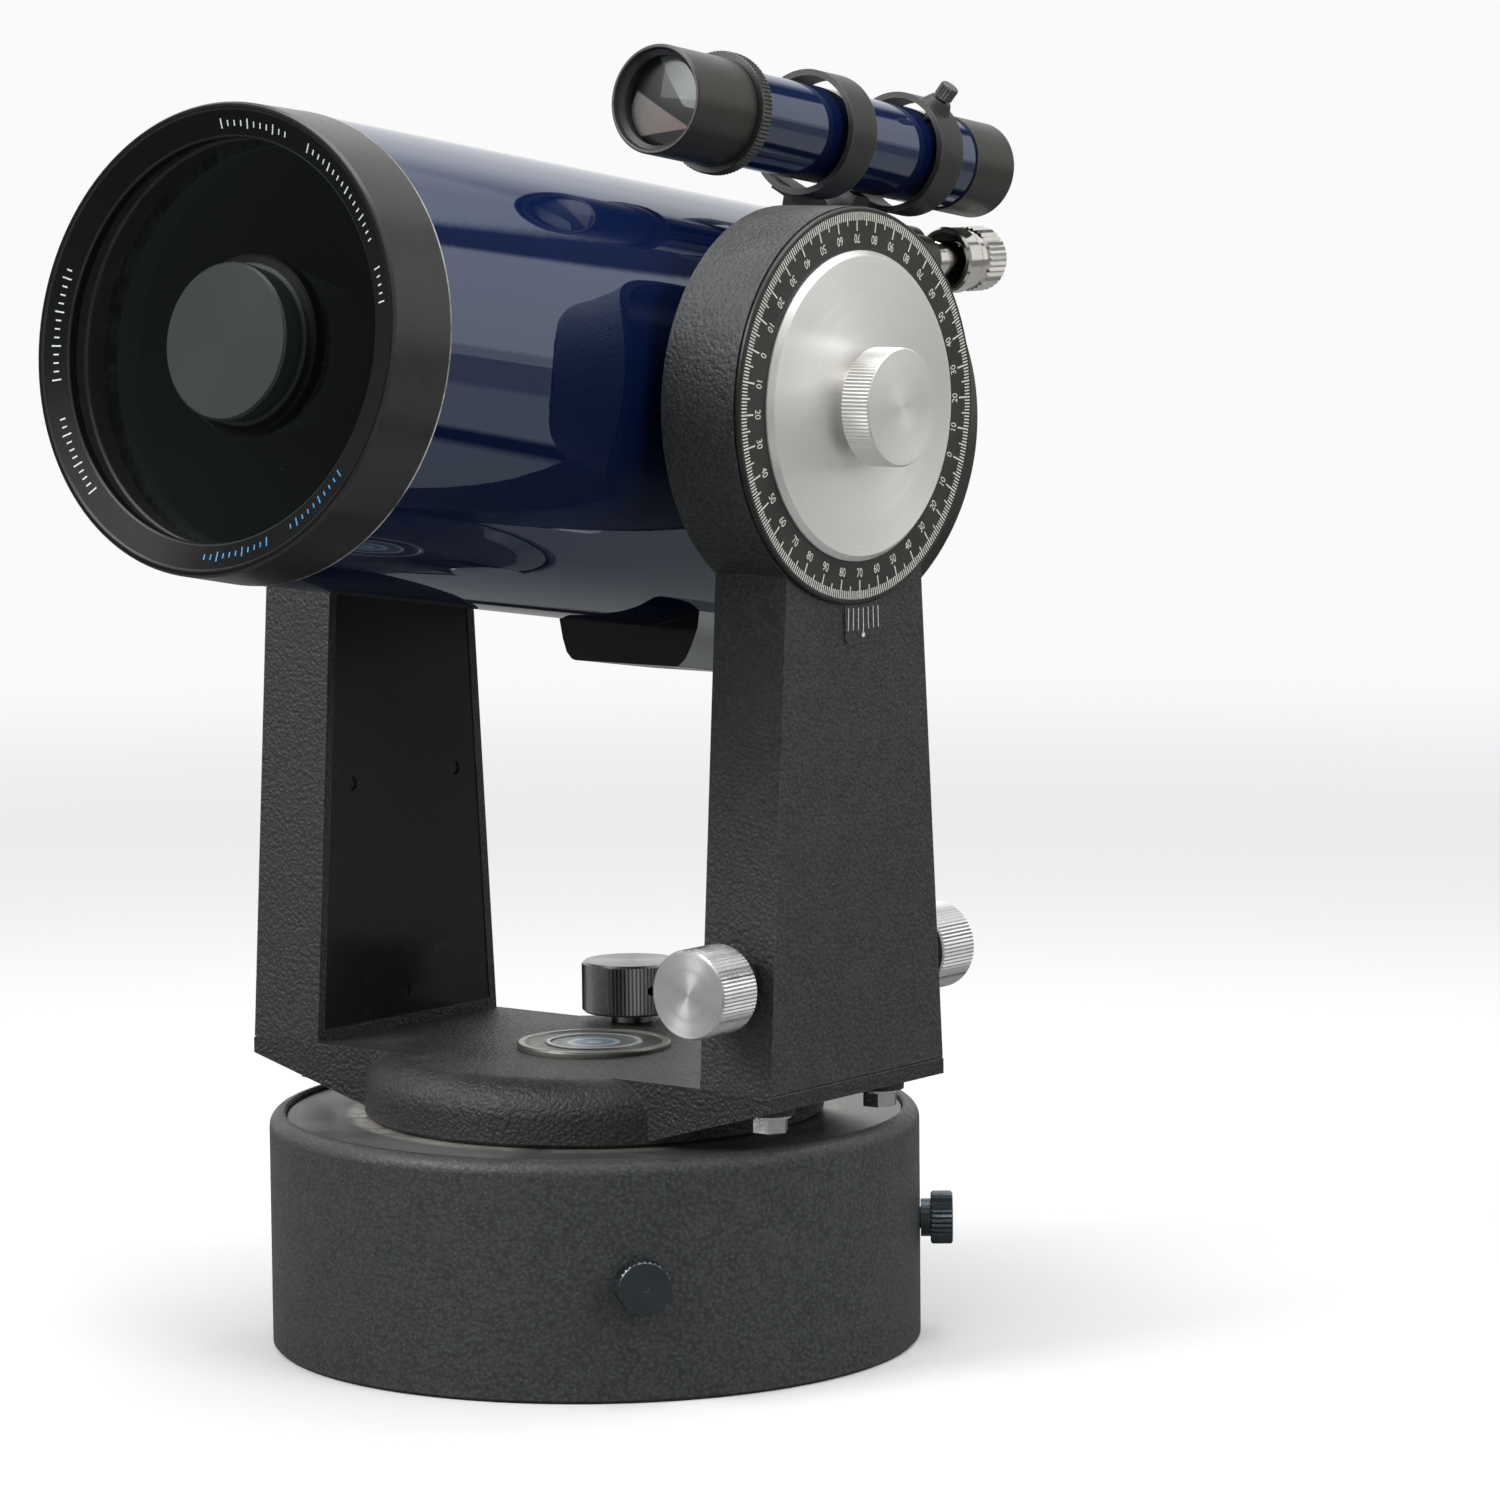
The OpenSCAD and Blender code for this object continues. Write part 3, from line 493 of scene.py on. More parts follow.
def dial_face(name):
    mat = Mat(name)
    radius, _, across = mat.around(ON_DEC)
    grain = mat.noise(scale=1500, detail=3.0, rough=0.6)
    cloud = mat.noise(scale=80, detail=3.0, rough=0.5)
    base = mat.mix(mat.remap(cloud, over=(0.35, 0.7)),
                   (0.0145, 0.0135, 0.0125), (0.026, 0.024, 0.021))
    base = mat.mix(mat.remap(radius, over=(0.0506, 0.0512)), base, (0.010, 0.010, 0.010))
    base = mat.worn(base, color=(0.24, 0.23, 0.20), amount=0.6, radius=0.0003,
                    patches=dict(scale=300, detail=3.0, rough=0.6), over=(0.45, 0.65))
    return mat.principled(
        color=base, rough=mat.remap(grain, over=(0.3, 0.7), to=(0.30, 0.42)), spec=0.5,
        normal=mat.bump(grain, depth=0.000014, strength=0.6),
        tangent=mat.tangent(X, across), rot=0.25, aniso=0.3)


def ink(name, color):
    """Filled engraving: slightly uneven paint."""
    mat = Mat(name)
    cloud = mat.noise(scale=1700, detail=3.0, rough=0.65)
    base = mat.mix(mat.remap(cloud, over=(0.35, 0.7)), color, scaled(color, 0.72))
    return mat.principled(color=base, rough=0.5,
                          normal=mat.bump(cloud, depth=0.00001, strength=0.5))


def badge(name):
    """Round medallion with plain concentric bands."""
    mat = Mat(name)
    reach = mat.mul(mat.around(UPRIGHT)[0], 1 / 0.021)  # 1 at the rim
    cloud = mat.noise(scale=420, detail=3.0, rough=0.6)
    hub, blue, band = (0.45, 0.50, 0.54), (0.16, 0.27, 0.38), (0.50, 0.54, 0.56)
    field, ring, dark = (0.13, 0.15, 0.155), (0.52, 0.54, 0.54), (0.055, 0.055, 0.050)
    base = mat.ramp(reach, [
        (0.0, hub), (0.10, hub), (0.115, blue), (0.26, blue), (0.275, band), (0.34, band),
        (0.355, field), (0.56, field), (0.575, ring), (0.62, ring), (0.635, dark), (0.885, dark),
        (0.90, (0.36, 0.355, 0.33)), (1.0, (0.22, 0.21, 0.19))])
    base = mat.mix(mat.remap(cloud, over=(0.35, 0.7), to=(0.0, 0.4)), base,
                   mat.mix(0.5, base, (0.10, 0.10, 0.095)))
    return mat.principled(color=base, metal=mat.remap(reach, over=(0.60, 0.64), to=(0.25, 0.7)),
                          rough=mat.remap(cloud, over=(0.3, 0.7), to=(0.28, 0.42)),
                          normal=mat.bump(cloud, depth=0.00002, strength=0.5))


def glass_plate(name):
    """Clear coated plate with a faint cool painted reflection on its two faces, an emission
    weighted by Fresnel, and a little dust.
    """
    mat = Mat(name)
    fresnel = mat.out("ShaderNodeFresnel", {"IOR": 1.22})
    dust = mat.remap(mat.noise(scale=900, detail=1.0, rough=0.5), over=(0.80, 0.83))
    clear = mat.out("ShaderNodeBsdfTransparent", {"Color": (0.84, 0.87, 0.86)})
    cloud = mat.remap(mat.noise(scale=9, detail=1.0, rough=0.5), over=(0.3, 0.7), to=(0.5, 0.8))
    # painted reflection: the faces square to the tube glow faintly, weighted by Fresnel
    painted_reflection = mat.emission(color=(0.62, 0.74, 0.70), strength=mat.mul(cloud, 0.5))
    square = mat.math("ABSOLUTE", mat.facing(TUBE_AXIS, normal="True Normal"))
    coated = mat.blend(mat.mul(fresnel, mat.math("GREATER_THAN", square, 0.8)), clear, painted_reflection)
    return mat.done(mat.blend(mat.mul(dust, 0.10), coated, mat.diffuse((0.25, 0.26, 0.26))))


def lens_glass(name):
    """Front of the finder lens: dark glass with two soft wedges of painted reflection, and the
    glass glows a little though it is no lamp.
    """
    mat = Mat(name)
    offset = mat.vec("SUBTRACT", mat.co, tuple(FINDER @ Vector((0, -0.0245, 0))))

    def across(direction):
        """Place across the lens, 1 at its rim."""
        direction = (FINDER.to_3x3() @ Vector(direction)).normalized()
        return mat.mul(mat.vec("DOT_PRODUCT", offset, tuple(direction)), 1 / LENS_RADIUS)

    right, up = across(X), across(Z)

    def wedge(tip, heading, half_angle, near, far):
        """(coverage of a wedge spreading from its tip, distance from the tip)."""
        side, rise = mat.sub(right, tip[0]), mat.sub(up, tip[1])
        angle = mat.math("ARCTAN2", rise, side)
        turn = mat.math("ABSOLUTE",
                        mat.math("WRAP", mat.sub(angle, heading), math.pi, -math.pi))
        reach = mat.math("SQRT", mat.add(mat.math("POWER", side, 2.0),
                                         mat.math("POWER", rise, 2.0)))
        cover = mat.mul(
            mat.remap(turn, over=(half_angle + 0.02, half_angle - 0.02), smooth=True),
            mat.remap(reach, over=(near, near + 0.05)), mat.remap(reach, over=(far, far - 0.06)))
        return cover, reach

    # painted reflections: a broad grey wedge and a narrow warm one
    grey, _ = wedge(tip=(0.47, 0.12), heading=1.492, half_angle=1.19, near=0.0, far=1.6)
    warm, warm_reach = wedge(tip=(0.86, -0.20), heading=-2.85, half_angle=0.31, near=0.05,
                             far=1.75)
    grey_reflection_color = mat.mix(mat.remap(right, over=(-0.35, 0.35)),
                         (0.060, 0.068, 0.066), (0.155, 0.170, 0.166))
    warm_reflection_color = mat.mix(mat.remap(warm_reach, over=(0.2, 1.4)),
                         (0.150, 0.108, 0.098), (0.130, 0.122, 0.120))
    color = mat.mix(grey, (0.006, 0.007, 0.007), grey_reflection_color)
    color = mat.mix(warm, color, warm_reflection_color)
    cloud = mat.noise(scale=420, detail=2.0, rough=0.5)
    color = mat.mix(mat.remap(cloud, over=(0.3, 0.7), to=(0.0, 0.15)), color, (0.02, 0.02, 0.02))
    # the lens glows with its own colour, though it is no lamp, to lift the painted reflections
    return mat.principled(color=color, rough=0.30, spec=0.2, coat=0.30, coat_rough=0.02,
                          coat_ior=1.4, emit=color, emit_strength=0.35)


def mirror(name):
    mat = Mat(name)
    cloud = mat.noise(scale=160, detail=2.0)
    base = mat.mix(mat.remap(cloud, over=(0.3, 0.8), to=(0.0, 0.3)),
                   (0.86, 0.88, 0.89), (0.78, 0.80, 0.82))
    return mat.principled(color=base, metal=1.0,
                          rough=mat.remap(cloud, over=(0.3, 0.7), to=(0.01, 0.03)))


def soft_black(name):
    """Matt black for the inside of the tube."""
    color, rough = (0.008, 0.008, 0.008), 0.75
    mat = Mat(name)
    grain = mat.noise(scale=1400, detail=3.0, rough=0.6)
    return mat.principled(
        color=mat.mix(grain, color, scaled(color, 1.8)),
        rough=mat.remap(grain, over=(0.3, 0.7), to=(rough - 0.1, rough + 0.1)),
        spec=0.25, normal=mat.bump(grain, depth=0.00004, strength=0.6))


def leather(name):
    mat = Mat(name)
    cells = mat.voronoi(scale=900).outputs["Distance"]
    return mat.principled(color=mat.mix(cells, (0.10, 0.055, 0.03), (0.18, 0.11, 0.06)), rough=0.7,
                          normal=mat.bump(cells, depth=0.0001, strength=0.6))


HOOD_BLACK = (0.022, 0.021, 0.018)
AIM_SCREW = dict(color=(0.030, 0.029, 0.026), rough=0.34, wear=0.9)
BRIGHT_TURNED = dict(about=ON_DEC, depth=0.000003, metal=0.86)
BRASS = (0.66, 0.48, 0.20)

MATERIALS = {
    # one paint on all these castings; tone makes the drum lighter and the foot and left arm darker,
    # as painted light and shade
    "base_drum": wrinkle_paint("paint_base", tone=1.55, dust=0.25, size=0.75, depth=0.60),
    "fork_base": wrinkle_paint("paint_foot", tone=0.55, dust=0.50, size=0.72, depth=1.35),
    "fork_arm_right": wrinkle_paint("paint_arm_right", tone=1.04, dust=0.45, size=0.72,
                                    depth=1.0),
    "fork_arm_left": wrinkle_paint("paint_arm_left", tone=0.72, dust=0.35, size=0.72, depth=1.0),
    "dec_bearing_cap": wrinkle_paint("paint_cap", tone=1.0, dust=0.2, size=1.0, depth=0.6),
    "base_deck_plate": deck("deck_metal"),
    "base_bottom_plate": satin_black("bottom_plate", rough=0.45),
    "power_socket": gloss_black("socket_plastic", rough=0.22),
    "fork_badge": badge("badge_bands"),
    "main_tube": navy_enamel("navy_tube", ON_TUBE, bore=0.0588),
    "finder_tube": navy_enamel("navy_finder", ON_FINDER, bore=0.0123),
    # on the ring the cone is painted darker and the bore fades to dead black, both painted shade,
    # and a painted highlight runs round its rear edge
    "front_ring": satin_black(
        "ring_black", ON_TUBE, color=(0.0150, 0.0162, 0.0145), rough=0.29, wear=0.9,
        front=(0.0050, 0.0056, 0.0058), front_spec=0.07, dull_over=(0.0513, 0.0510), rim=-0.1300),
    "rear_cell": satin_black("cell_black", ON_TUBE, rough=0.38),
    "visual_back": satin_black("back_black", ON_TUBE, rough=0.36),
    "trunnion_right": satin_black("trunnion_black", ON_DEC),
    "trunnion_left": satin_black("trunnion_black_left", ON_DEC),
    "mounting_block": gloss_black("block_gloss", color=(0.005, 0.005, 0.005), rough=0.13,
                                  painted_sheen_x=True),
    "arm_cover_right": gloss_black("cover_gloss_right", color=(0.007, 0.007, 0.008), rough=0.20),
    "arm_cover_left": gloss_black("cover_gloss_left", color=(0.007, 0.007, 0.008), rough=0.20),
    "setting_circle": dial_face("dial_black"),
    "circle_disc": turned_metal("disc_turned", color=(0.985, 0.975, 0.950), rough=0.36,
                                aniso=0.80, **BRIGHT_TURNED),
    "dec_lock_knob": turned_metal("lock_knob_turned", color=(0.97, 0.96, 0.93), rough=0.33,
                                  aniso=0.70, **BRIGHT_TURNED),
    "dec_slow_knobs": turned_metal("dec_knob_turned", (centre_of("dec_slow_knobs"), Y),
                                   color=(0.88, 0.89, 0.89), rough=0.27, aniso=0.86,
                                   pitch=3400.0, depth=0.000003),
    "ra_slow_knob": turned_metal("ra_knob_turned", (centre_of("ra_slow_knob"), Z),
                                 color=(0.27, 0.275, 0.265), rough=0.32, aniso=0.6),
    "corrector_plate": glass_plate("coated_plate"),
    "corrector_retainer": soft_black("retainer_black"),
    "secondary_holder": satin_black(
        "holder_grey", ON_TUBE, color=(0.0120, 0.0140, 0.0145), rough=0.42, grain=0.5, wear=0.5,
        front=(0.0310, 0.0360, 0.0368), front_spec=0.16, dull_over=(0.0204, 0.0207)),
    "secondary_baffle": soft_black("baffle_black_front"),
    "baffle_tube": soft_black("baffle_black"),
    "mirror_carrier": soft_black("carrier_black"),
    "primary_mirror": mirror("primary_silvered"),
    "secondary_mirror": mirror("secondary_silvered"),
    "focus_knob": chrome("chrome_knob"),
    "focus_bush": chrome("chrome_bush"),
    "eyepiece_clamp_screw": chrome("chrome_screw"),
    "focus_rod": plain_metal("rod_steel", (0.62, 0.62, 0.62)),
    "finder_bracket": satin_black("bracket_black", color=(0.017, 0.017, 0.016), rough=0.42),
    "finder_objective": satin_black("hood_black", ON_FINDER, color=HOOD_BLACK, rough=0.34),
    "finder_lock_ring": satin_black("lock_ring_black", ON_FINDER, color=(0.020, 0.021, 0.019),
                                    rough=0.36),
    "finder_eyepiece": satin_black("eyepiece_black", ON_FINDER, color=HOOD_BLACK, rough=0.38),
    "finder_aim_screw_right": satin_black("aim_screw_black", **AIM_SCREW),
    "finder_aim_screw_left": satin_black("aim_screw_black_left", **AIM_SCREW),
    "drive_motor": plain_metal("motor_steel", (0.55, 0.55, 0.56)),
    "bottom_plate_screws": plain_metal("screw_steel", (0.58, 0.58, 0.58)),
    "arm_bolts": plain_metal("bolt_steel", (0.78, 0.78, 0.78), rough=0.24),
    "polar_shaft": plain_metal("shaft_steel", (0.62, 0.62, 0.63)),
    "polar_nut": plain_metal("nut_steel", (0.55, 0.55, 0.55)),
    "dec_screw": plain_metal("dec_screw_steel", (0.6, 0.6, 0.6)),
    "tangent_arm": plain_metal("arm_steel", (0.5, 0.5, 0.5)),
    "polar_bush": plain_metal("bush_brass", (0.62, 0.44, 0.18)),
    "motor_pinion": plain_metal("pinion_brass", BRASS),
    "drive_gear": plain_metal("gear_brass", BRASS),
    "ra_pinion": plain_metal("ra_pinion_brass", BRASS),
    "dec_bushes": plain_metal("dec_bush_brass", (0.62, 0.45, 0.19)),
    "dec_nut": plain_metal("nut_brass", BRASS),
    "dec_screw_bushes": satin_black("screw_bush_black"),
    "clutch_washer": leather("clutch_leather"),
}
for knob, degrees in LEG_HEADINGS.items():
    heading = math.radians(degrees)
    MATERIALS[knob] = turned_metal(
        knob + "_anodised", ((0, 0, LEG_KNOB_HEIGHT), (math.cos(heading), math.sin(heading), 0)),
        color=(0.085, 0.104, 0.114), rough=0.26, aniso=0.8)

for part, material in MATERIALS.items():
    slots = PARTS[part].data.materials
    slots.clear()
    slots.append(material)
missing = sorted(set(PARTS) - set(MATERIALS))
if missing:
    raise RuntimeError("nodes without a material: %s" % missing)

# ---------------------------------------------------------------------------
# soft edges on the CAD parts
# ---------------------------------------------------------------------------
# bevel width in mm: parts
SOFT_EDGES = {
    0.1: ("focus_bush",),
    0.12: ("fork_badge",),
    0.15: ("circle_disc", "setting_circle", "base_deck_plate", "main_tube", "finder_tube",
           "finder_objective"),
    0.2: ("front_ring", "arm_bolts", "base_bottom_plate", "dec_screw_bushes"),
    0.25: ("finder_eyepiece", "secondary_holder"),
    0.3: ("base_drum", "arm_cover_right", "arm_cover_left", "trunnion_right", "trunnion_left",
          "power_socket", "dec_bearing_cap", "drive_motor", "tangent_arm", "polar_nut"),
    0.4: ("rear_cell",),
    0.45: ("finder_bracket",),
    0.5: ("mounting_block",),
    0.7: ("fork_arm_right", "fork_arm_left"),
    0.8: ("fork_base",),
}


def soften(part, width):
    """Rounds the edges of a part and keeps its open faces flat in shading."""
    mesh = part.data
    if "custom_normal" in mesh.attributes:
        mesh.attributes.remove(mesh.attributes["custom_normal"])
    mesh.polygons.foreach_set("use_smooth", [True] * len(mesh.polygons))
    weld = part.modifiers.new("weld", "WELD")
    weld.merge_threshold = 2e-6
    bevel = part.modifiers.new("soft_edges", "BEVEL")
    bevel.width = width
    bevel.segments = 3
    bevel.limit_method = "ANGLE"
    bevel.angle_limit = math.radians(28)
    bevel.harden_normals = False
    normals = part.modifiers.new("face_normals", "WEIGHTED_NORMAL")
    normals.mode = "FACE_AREA"
    normals.weight = 60


for width, names in SOFT_EDGES.items():
    for name in names:
        soften(PARTS[name], width * MM)


# ---------------------------------------------------------------------------
# pieces made here
# ---------------------------------------------------------------------------
def add_object(name, data):
    made = bpy.data.objects.new(name, data)
    scene.collection.objects.link(made)
    return made


def piece(name, shape, body, material, smooth=False):
    mesh = bpy.data.meshes.new(name)
    bmesh.ops.recalc_face_normals(shape, faces=shape.faces)
    shape.to_mesh(mesh)
    shape.free()
    if smooth:
        mesh.polygons.foreach_set("use_smooth", [True] * len(mesh.polygons))
    mesh.materials.append(material)
    made = add_object(name, mesh)
    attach(made, body)


def bar(shape, place, width, length, rise, chamfer=0.02 * MM):
    """A low bar: width along X, length along Y, from -rise to rise along Z, sides sloping."""
    x, y = width / 2, length / 2
    corners = [(sx * (x - inset), sy * (y - inset), z) for inset, z in ((0, -rise), (chamfer, rise))
               for sx, sy in ((-1, -1), (1, -1), (1, 1), (-1, 1))]
    verts = [shape.verts.new(place @ Vector(corner)) for corner in corners]
    for face in ((3, 2, 1, 0), (4, 5, 6, 7), (0, 1, 5, 4), (1, 2, 6, 5), (2, 3, 7, 6),
                 (3, 0, 4, 7)):
        shape.faces.new([verts[i] for i in face])


def surface_frame(outward, normal):
    """Local Y outward, local Z out of the surface, local X running round."""
    return Matrix((outward.cross(normal), outward, normal)).transposed().to_4x4()


# setting circle, in mm and degrees
DIAL_ZERO = 20  # the zero line stands this far above the -Y direction
DIVISION_OUTER = 50.45
DIVISION_RISE = 0.035
FIGURE_RADIUS = 43.55
FIGURE_SIZE = 3.3
FIGURE_SQUEEZE = 0.80


def dial_place(degrees, radius):
    """On the face of the setting circle; degrees run from the zero line, from -Y up to +Z."""
    angle = math.radians(degrees + DIAL_ZERO)
    outward = Vector((0, -math.cos(angle), math.sin(angle)))
    place = surface_frame(outward, Vector(X))
    place.translation = Vector((DIAL_FACE_X, DEC.y, DEC.z)) + outward * radius
    return place


def dial_divisions(material):
    """One line for each degree, longer at every fifth and tenth."""
    shape = bmesh.new()
    for degree in range(360):
        inner, width = 48.25, 0.40
        if degree % 10 == 0:
            inner, width = 45.5, 0.46
        elif degree % 5 == 0:
            inner, width = 47.0, 0.42
        bar(shape, dial_place(degree, (inner + DIVISION_OUTER) / 2 * MM), width * MM,
            (DIVISION_OUTER - inner) * MM, DIVISION_RISE * MM)
    piece("dial_divisions", shape, "tube", material)


def figure_mesh(text):
    """Flat raised figures, as a mesh."""
    curve = bpy.data.curves.new("figure", "FONT")
    curve.body = text
    curve.align_x = "CENTER"
    curve.align_y = "CENTER"
    curve.size = FIGURE_SIZE * MM
    curve.extrude = DIVISION_RISE * MM
    curve.resolution_u = 6
    holder = add_object("figure", curve)
    bpy.context.view_layer.update()
    mesh = bpy.data.meshes.new_from_object(holder)
    bpy.data.objects.remove(holder)
    bpy.data.curves.remove(curve)
    return mesh


def dial_figures(material):
    """A figure every ten degrees, counting 0 to 90 and back twice round the dial."""
    shape = bmesh.new()
    # the figures stand with their tops towards the middle
    turn = Matrix.Rotation(math.pi, 4, "Z") @ Matrix.Diagonal((FIGURE_SQUEEZE, 1.0, 1.0, 1.0))
    for degree in range(0, 360, 10):
        mesh = figure_mesh(str(90 - abs(degree % 180 - 90)))
        xs = [v.co.x for v in mesh.vertices]
        ys = [v.co.y for v in mesh.vertices]
        centring = Matrix.Translation((-(min(xs) + max(xs)) / 2, -(min(ys) + max(ys)) / 2, 0))
        mesh.transform(dial_place(degree, FIGURE_RADIUS * MM) @ turn @ centring)
        shape.from_mesh(mesh)
        bpy.data.meshes.remove(mesh)
    bmesh.ops.remove_doubles(shape, verts=shape.verts, dist=1e-7)
    piece("dial_figures", shape, "tube", material)


# vernier, in mm: Y of its middle line, pitch along Y, and depths below the dial centre
VERNIER_Y = 3.0
VERNIER_PITCH = 2.2
VERNIER_FAN = 0.9  # degrees between lines
VERNIER_TOP = 52.9
VERNIER_BOTTOM = 58.6
VERNIER_LONG_BOTTOM = 59.6
VERNIER_DOT = 60.1


def vernier_lines(material):
    """Seven fanned lines on the pad below the dial, with a dot under the long middle one."""
    shape = bmesh.new()
    # local X along +Y, local Y along +Z, local Z along +X
    on_pad = Matrix(((0, 0, 1, 0), (1, 0, 0, 0), (0, 1, 0, 0), (0, 0, 0, 1)))
    for k in range(-3, 4):
        y = (VERNIER_Y + k * VERNIER_PITCH) * MM
        top = DEC.z - (VERNIER_TOP - 0.05 * abs(k)) * MM
        bottom = DEC.z - (VERNIER_BOTTOM if k else VERNIER_LONG_BOTTOM) * MM
        place = Matrix.Translation((PAD_FACE_X, y, (bottom + top) / 2)) @ on_pad
        bar(shape, place @ Matrix.Rotation(math.radians(VERNIER_FAN * k), 4, "Z"), 0.30 * MM,
            top - bottom, 0.04 * MM)
    dot = bmesh.ops.create_cone(shape, cap_ends=True, segments=24, radius1=0.72 * MM,
                                radius2=0.66 * MM, depth=0.08 * MM)
    place = Matrix.Translation((PAD_FACE_X, VERNIER_Y * MM, DEC.z - VERNIER_DOT * MM))
    bmesh.ops.transform(shape, matrix=place @ Matrix.Rotation(math.pi / 2, 4, "Y"),
                        verts=dot["verts"])
    piece("vernier_lines", shape, "fork", material)


# cone on the face of the front ring, in mm; its inner edge lies further back
CONE_OUTER, CONE_INNER = 57.7, 51.5
CONE_FRONT_Y = -150.3
CONE_DEPTH = 2.0
MARK_RADIUS = 54.4
MARK_PITCH = 2.3  # degrees

# arcs of marks, (start, end) in degrees clockwise from the top, seen from the front
PALE_ARCS = ((-4, 19), (28, 62), (70, 79), (224, 247), (258, 288))
BLUE_ARCS = ((126, 147), (156, 178))


def cone_place(angle):
    """On the cone of the front ring, at the radius of the marks."""
    outward = Vector((math.sin(angle), 0, math.cos(angle)))
    y = CONE_FRONT_Y + (CONE_OUTER - MARK_RADIUS) / (CONE_OUTER - CONE_INNER) * CONE_DEPTH
    slope = math.atan2(CONE_DEPTH, CONE_OUTER - CONE_INNER)
    normal = (Vector((0, -1, 0)) * math.cos(slope) - outward * math.sin(slope)).normalized()
    around = outward.cross(normal).normalized()
    place = Matrix((around, normal.cross(around).normalized(), normal)).transposed().to_4x4()
    place.translation = outward * (MARK_RADIUS * MM) + Vector((0, y * MM, 0))
    return TUBE @ place


def ring_marks(name, material, arcs):
    """Arcs of short marks on the front ring, every fourth one longer."""
    shape = bmesh.new()
    for start, end in arcs:
        steps = max(2, round((end - start) / MARK_PITCH))
        for i in range(steps + 1):
            angle = math.radians(start + (end - start) * i / steps)
            length = 2.6 if i % 4 == 0 else 1.5
            bar(shape, cone_place(angle), 0.42 * MM, length * MM, 0.04 * MM)
    piece(name, shape, "tube", material)


def finder_lens():
    """The lens in the finder hood, crowned towards the front."""
    shape = bmesh.new()
    steps, segments = 10, 72

    def ring(radius, y):
        angles = [2 * math.pi * k / segments for k in range(segments)]
        return [shape.verts.new(FINDER @ Vector((radius * math.cos(a), y, radius * math.sin(a))))
                for a in angles]

    crown = shape.verts.new(FINDER @ Vector((0, LENS_CROWN_Y, 0)))
    rings = [ring(LENS_RADIUS * (i / steps), LENS_CROWN_Y + LENS_SAG * (i / steps) * (i / steps))
             for i in range(1, steps + 1)]
    back = ring(LENS_RADIUS, LENS_BACK_Y)
    rings.append(back)
    for k in range(segments):
        j = (k + 1) % segments
        shape.faces.new((crown, rings[0][k], rings[0][j]))
        for near, far in zip(rings, rings[1:]):
            shape.faces.new((near[k], far[k], far[j], near[j]))
    shape.faces.new(back)
    piece("finder_lens", shape, "finder_objective", lens_glass("finder_glass"),
          smooth=True)


white = ink("engraved_white", (0.62, 0.61, 0.55))
dial_divisions(white)
dial_figures(white)
vernier_lines(white)
pale_ink = ink("mark_pale", (0.74, 0.76, 0.76))
blue_ink = ink("mark_blue", (0.035, 0.30, 0.62))
ring_marks("ring_marks_pale", pale_ink, PALE_ARCS)
ring_marks("ring_marks_blue", blue_ink, BLUE_ARCS)
finder_lens()

# ---------------------------------------------------------------------------
# floor, light and camera
# ---------------------------------------------------------------------------
BACKDROP = (0.955, 0.958, 0.965)


def floor_material():
    """Pale floor fading into the backdrop, with its own looks for bounce and mirror rays."""
    mat = Mat("floor_pale")
    distance = mat.vec("LENGTH", mat.node("ShaderNodeNewGeometry").outputs["Position"])
    rays = mat.node("ShaderNodeLightPath").outputs
    grain = mat.remap(mat.noise(scale=900, detail=2.0), over=(0.3, 0.7))
    paper = mat.diffuse(mat.mix(grain, (0.80, 0.80, 0.80), (0.82, 0.82, 0.82)))
    seen = mat.blend(mat.remap(distance, over=(0.55, 1.9), smooth=True), paper,
                     mat.emission(color=BACKDROP, strength=1.0))
    seen = mat.blend(rays["Is Diffuse Ray"], seen, mat.diffuse((0.30, 0.31, 0.32)))
    # reflections see grey with a dark band close in and a dimmer one far out
    band = mat.mul(mat.remap(distance, over=(0.36, 0.40)), mat.remap(distance, over=(0.50, 0.46)))
    band = mat.math("MAXIMUM", band, mat.remap(distance, over=(1.15, 1.35), to=(0.0, 0.45)))
    mirrored = mat.blend(mat.remap(distance, over=(0.40, 0.47)), mat.diffuse((0.20, 0.20, 0.20)),
                         mat.emission(color=(0.53, 0.53, 0.525), strength=0.66))
    mirrored = mat.blend(band, mirrored, mat.emission(color=(0.012, 0.012, 0.013), strength=1.0))
    return mat.done(mat.blend(rays["Is Glossy Ray"], seen, mirrored))


def studio_floor():
    material = floor_material()
    shape = bmesh.new()
    bmesh.ops.create_circle(shape, cap_ends=True, segments=96, radius=6.0)
    mesh = bpy.data.meshes.new("studio_floor")
    shape.to_mesh(mesh)
    shape.free()
    mesh.materials.append(material)
    add_object("studio_floor", mesh)


# what reflections see at each height: (ramp position, colour), with a dark line at the horizon
SKY = [(0.0, (0.29, 0.285, 0.275)), (0.02, (0.48, 0.475, 0.465)), (0.440, (0.48, 0.48, 0.475)),
       (0.455, (0.035, 0.036, 0.04)), (0.500, (0.035, 0.036, 0.04)), (0.515, (0.50, 0.505, 0.51)),
       (0.54, (0.56, 0.565, 0.57)), (0.66, (0.98, 0.985, 0.99)), (1.0, (1.04, 1.04, 1.03))]


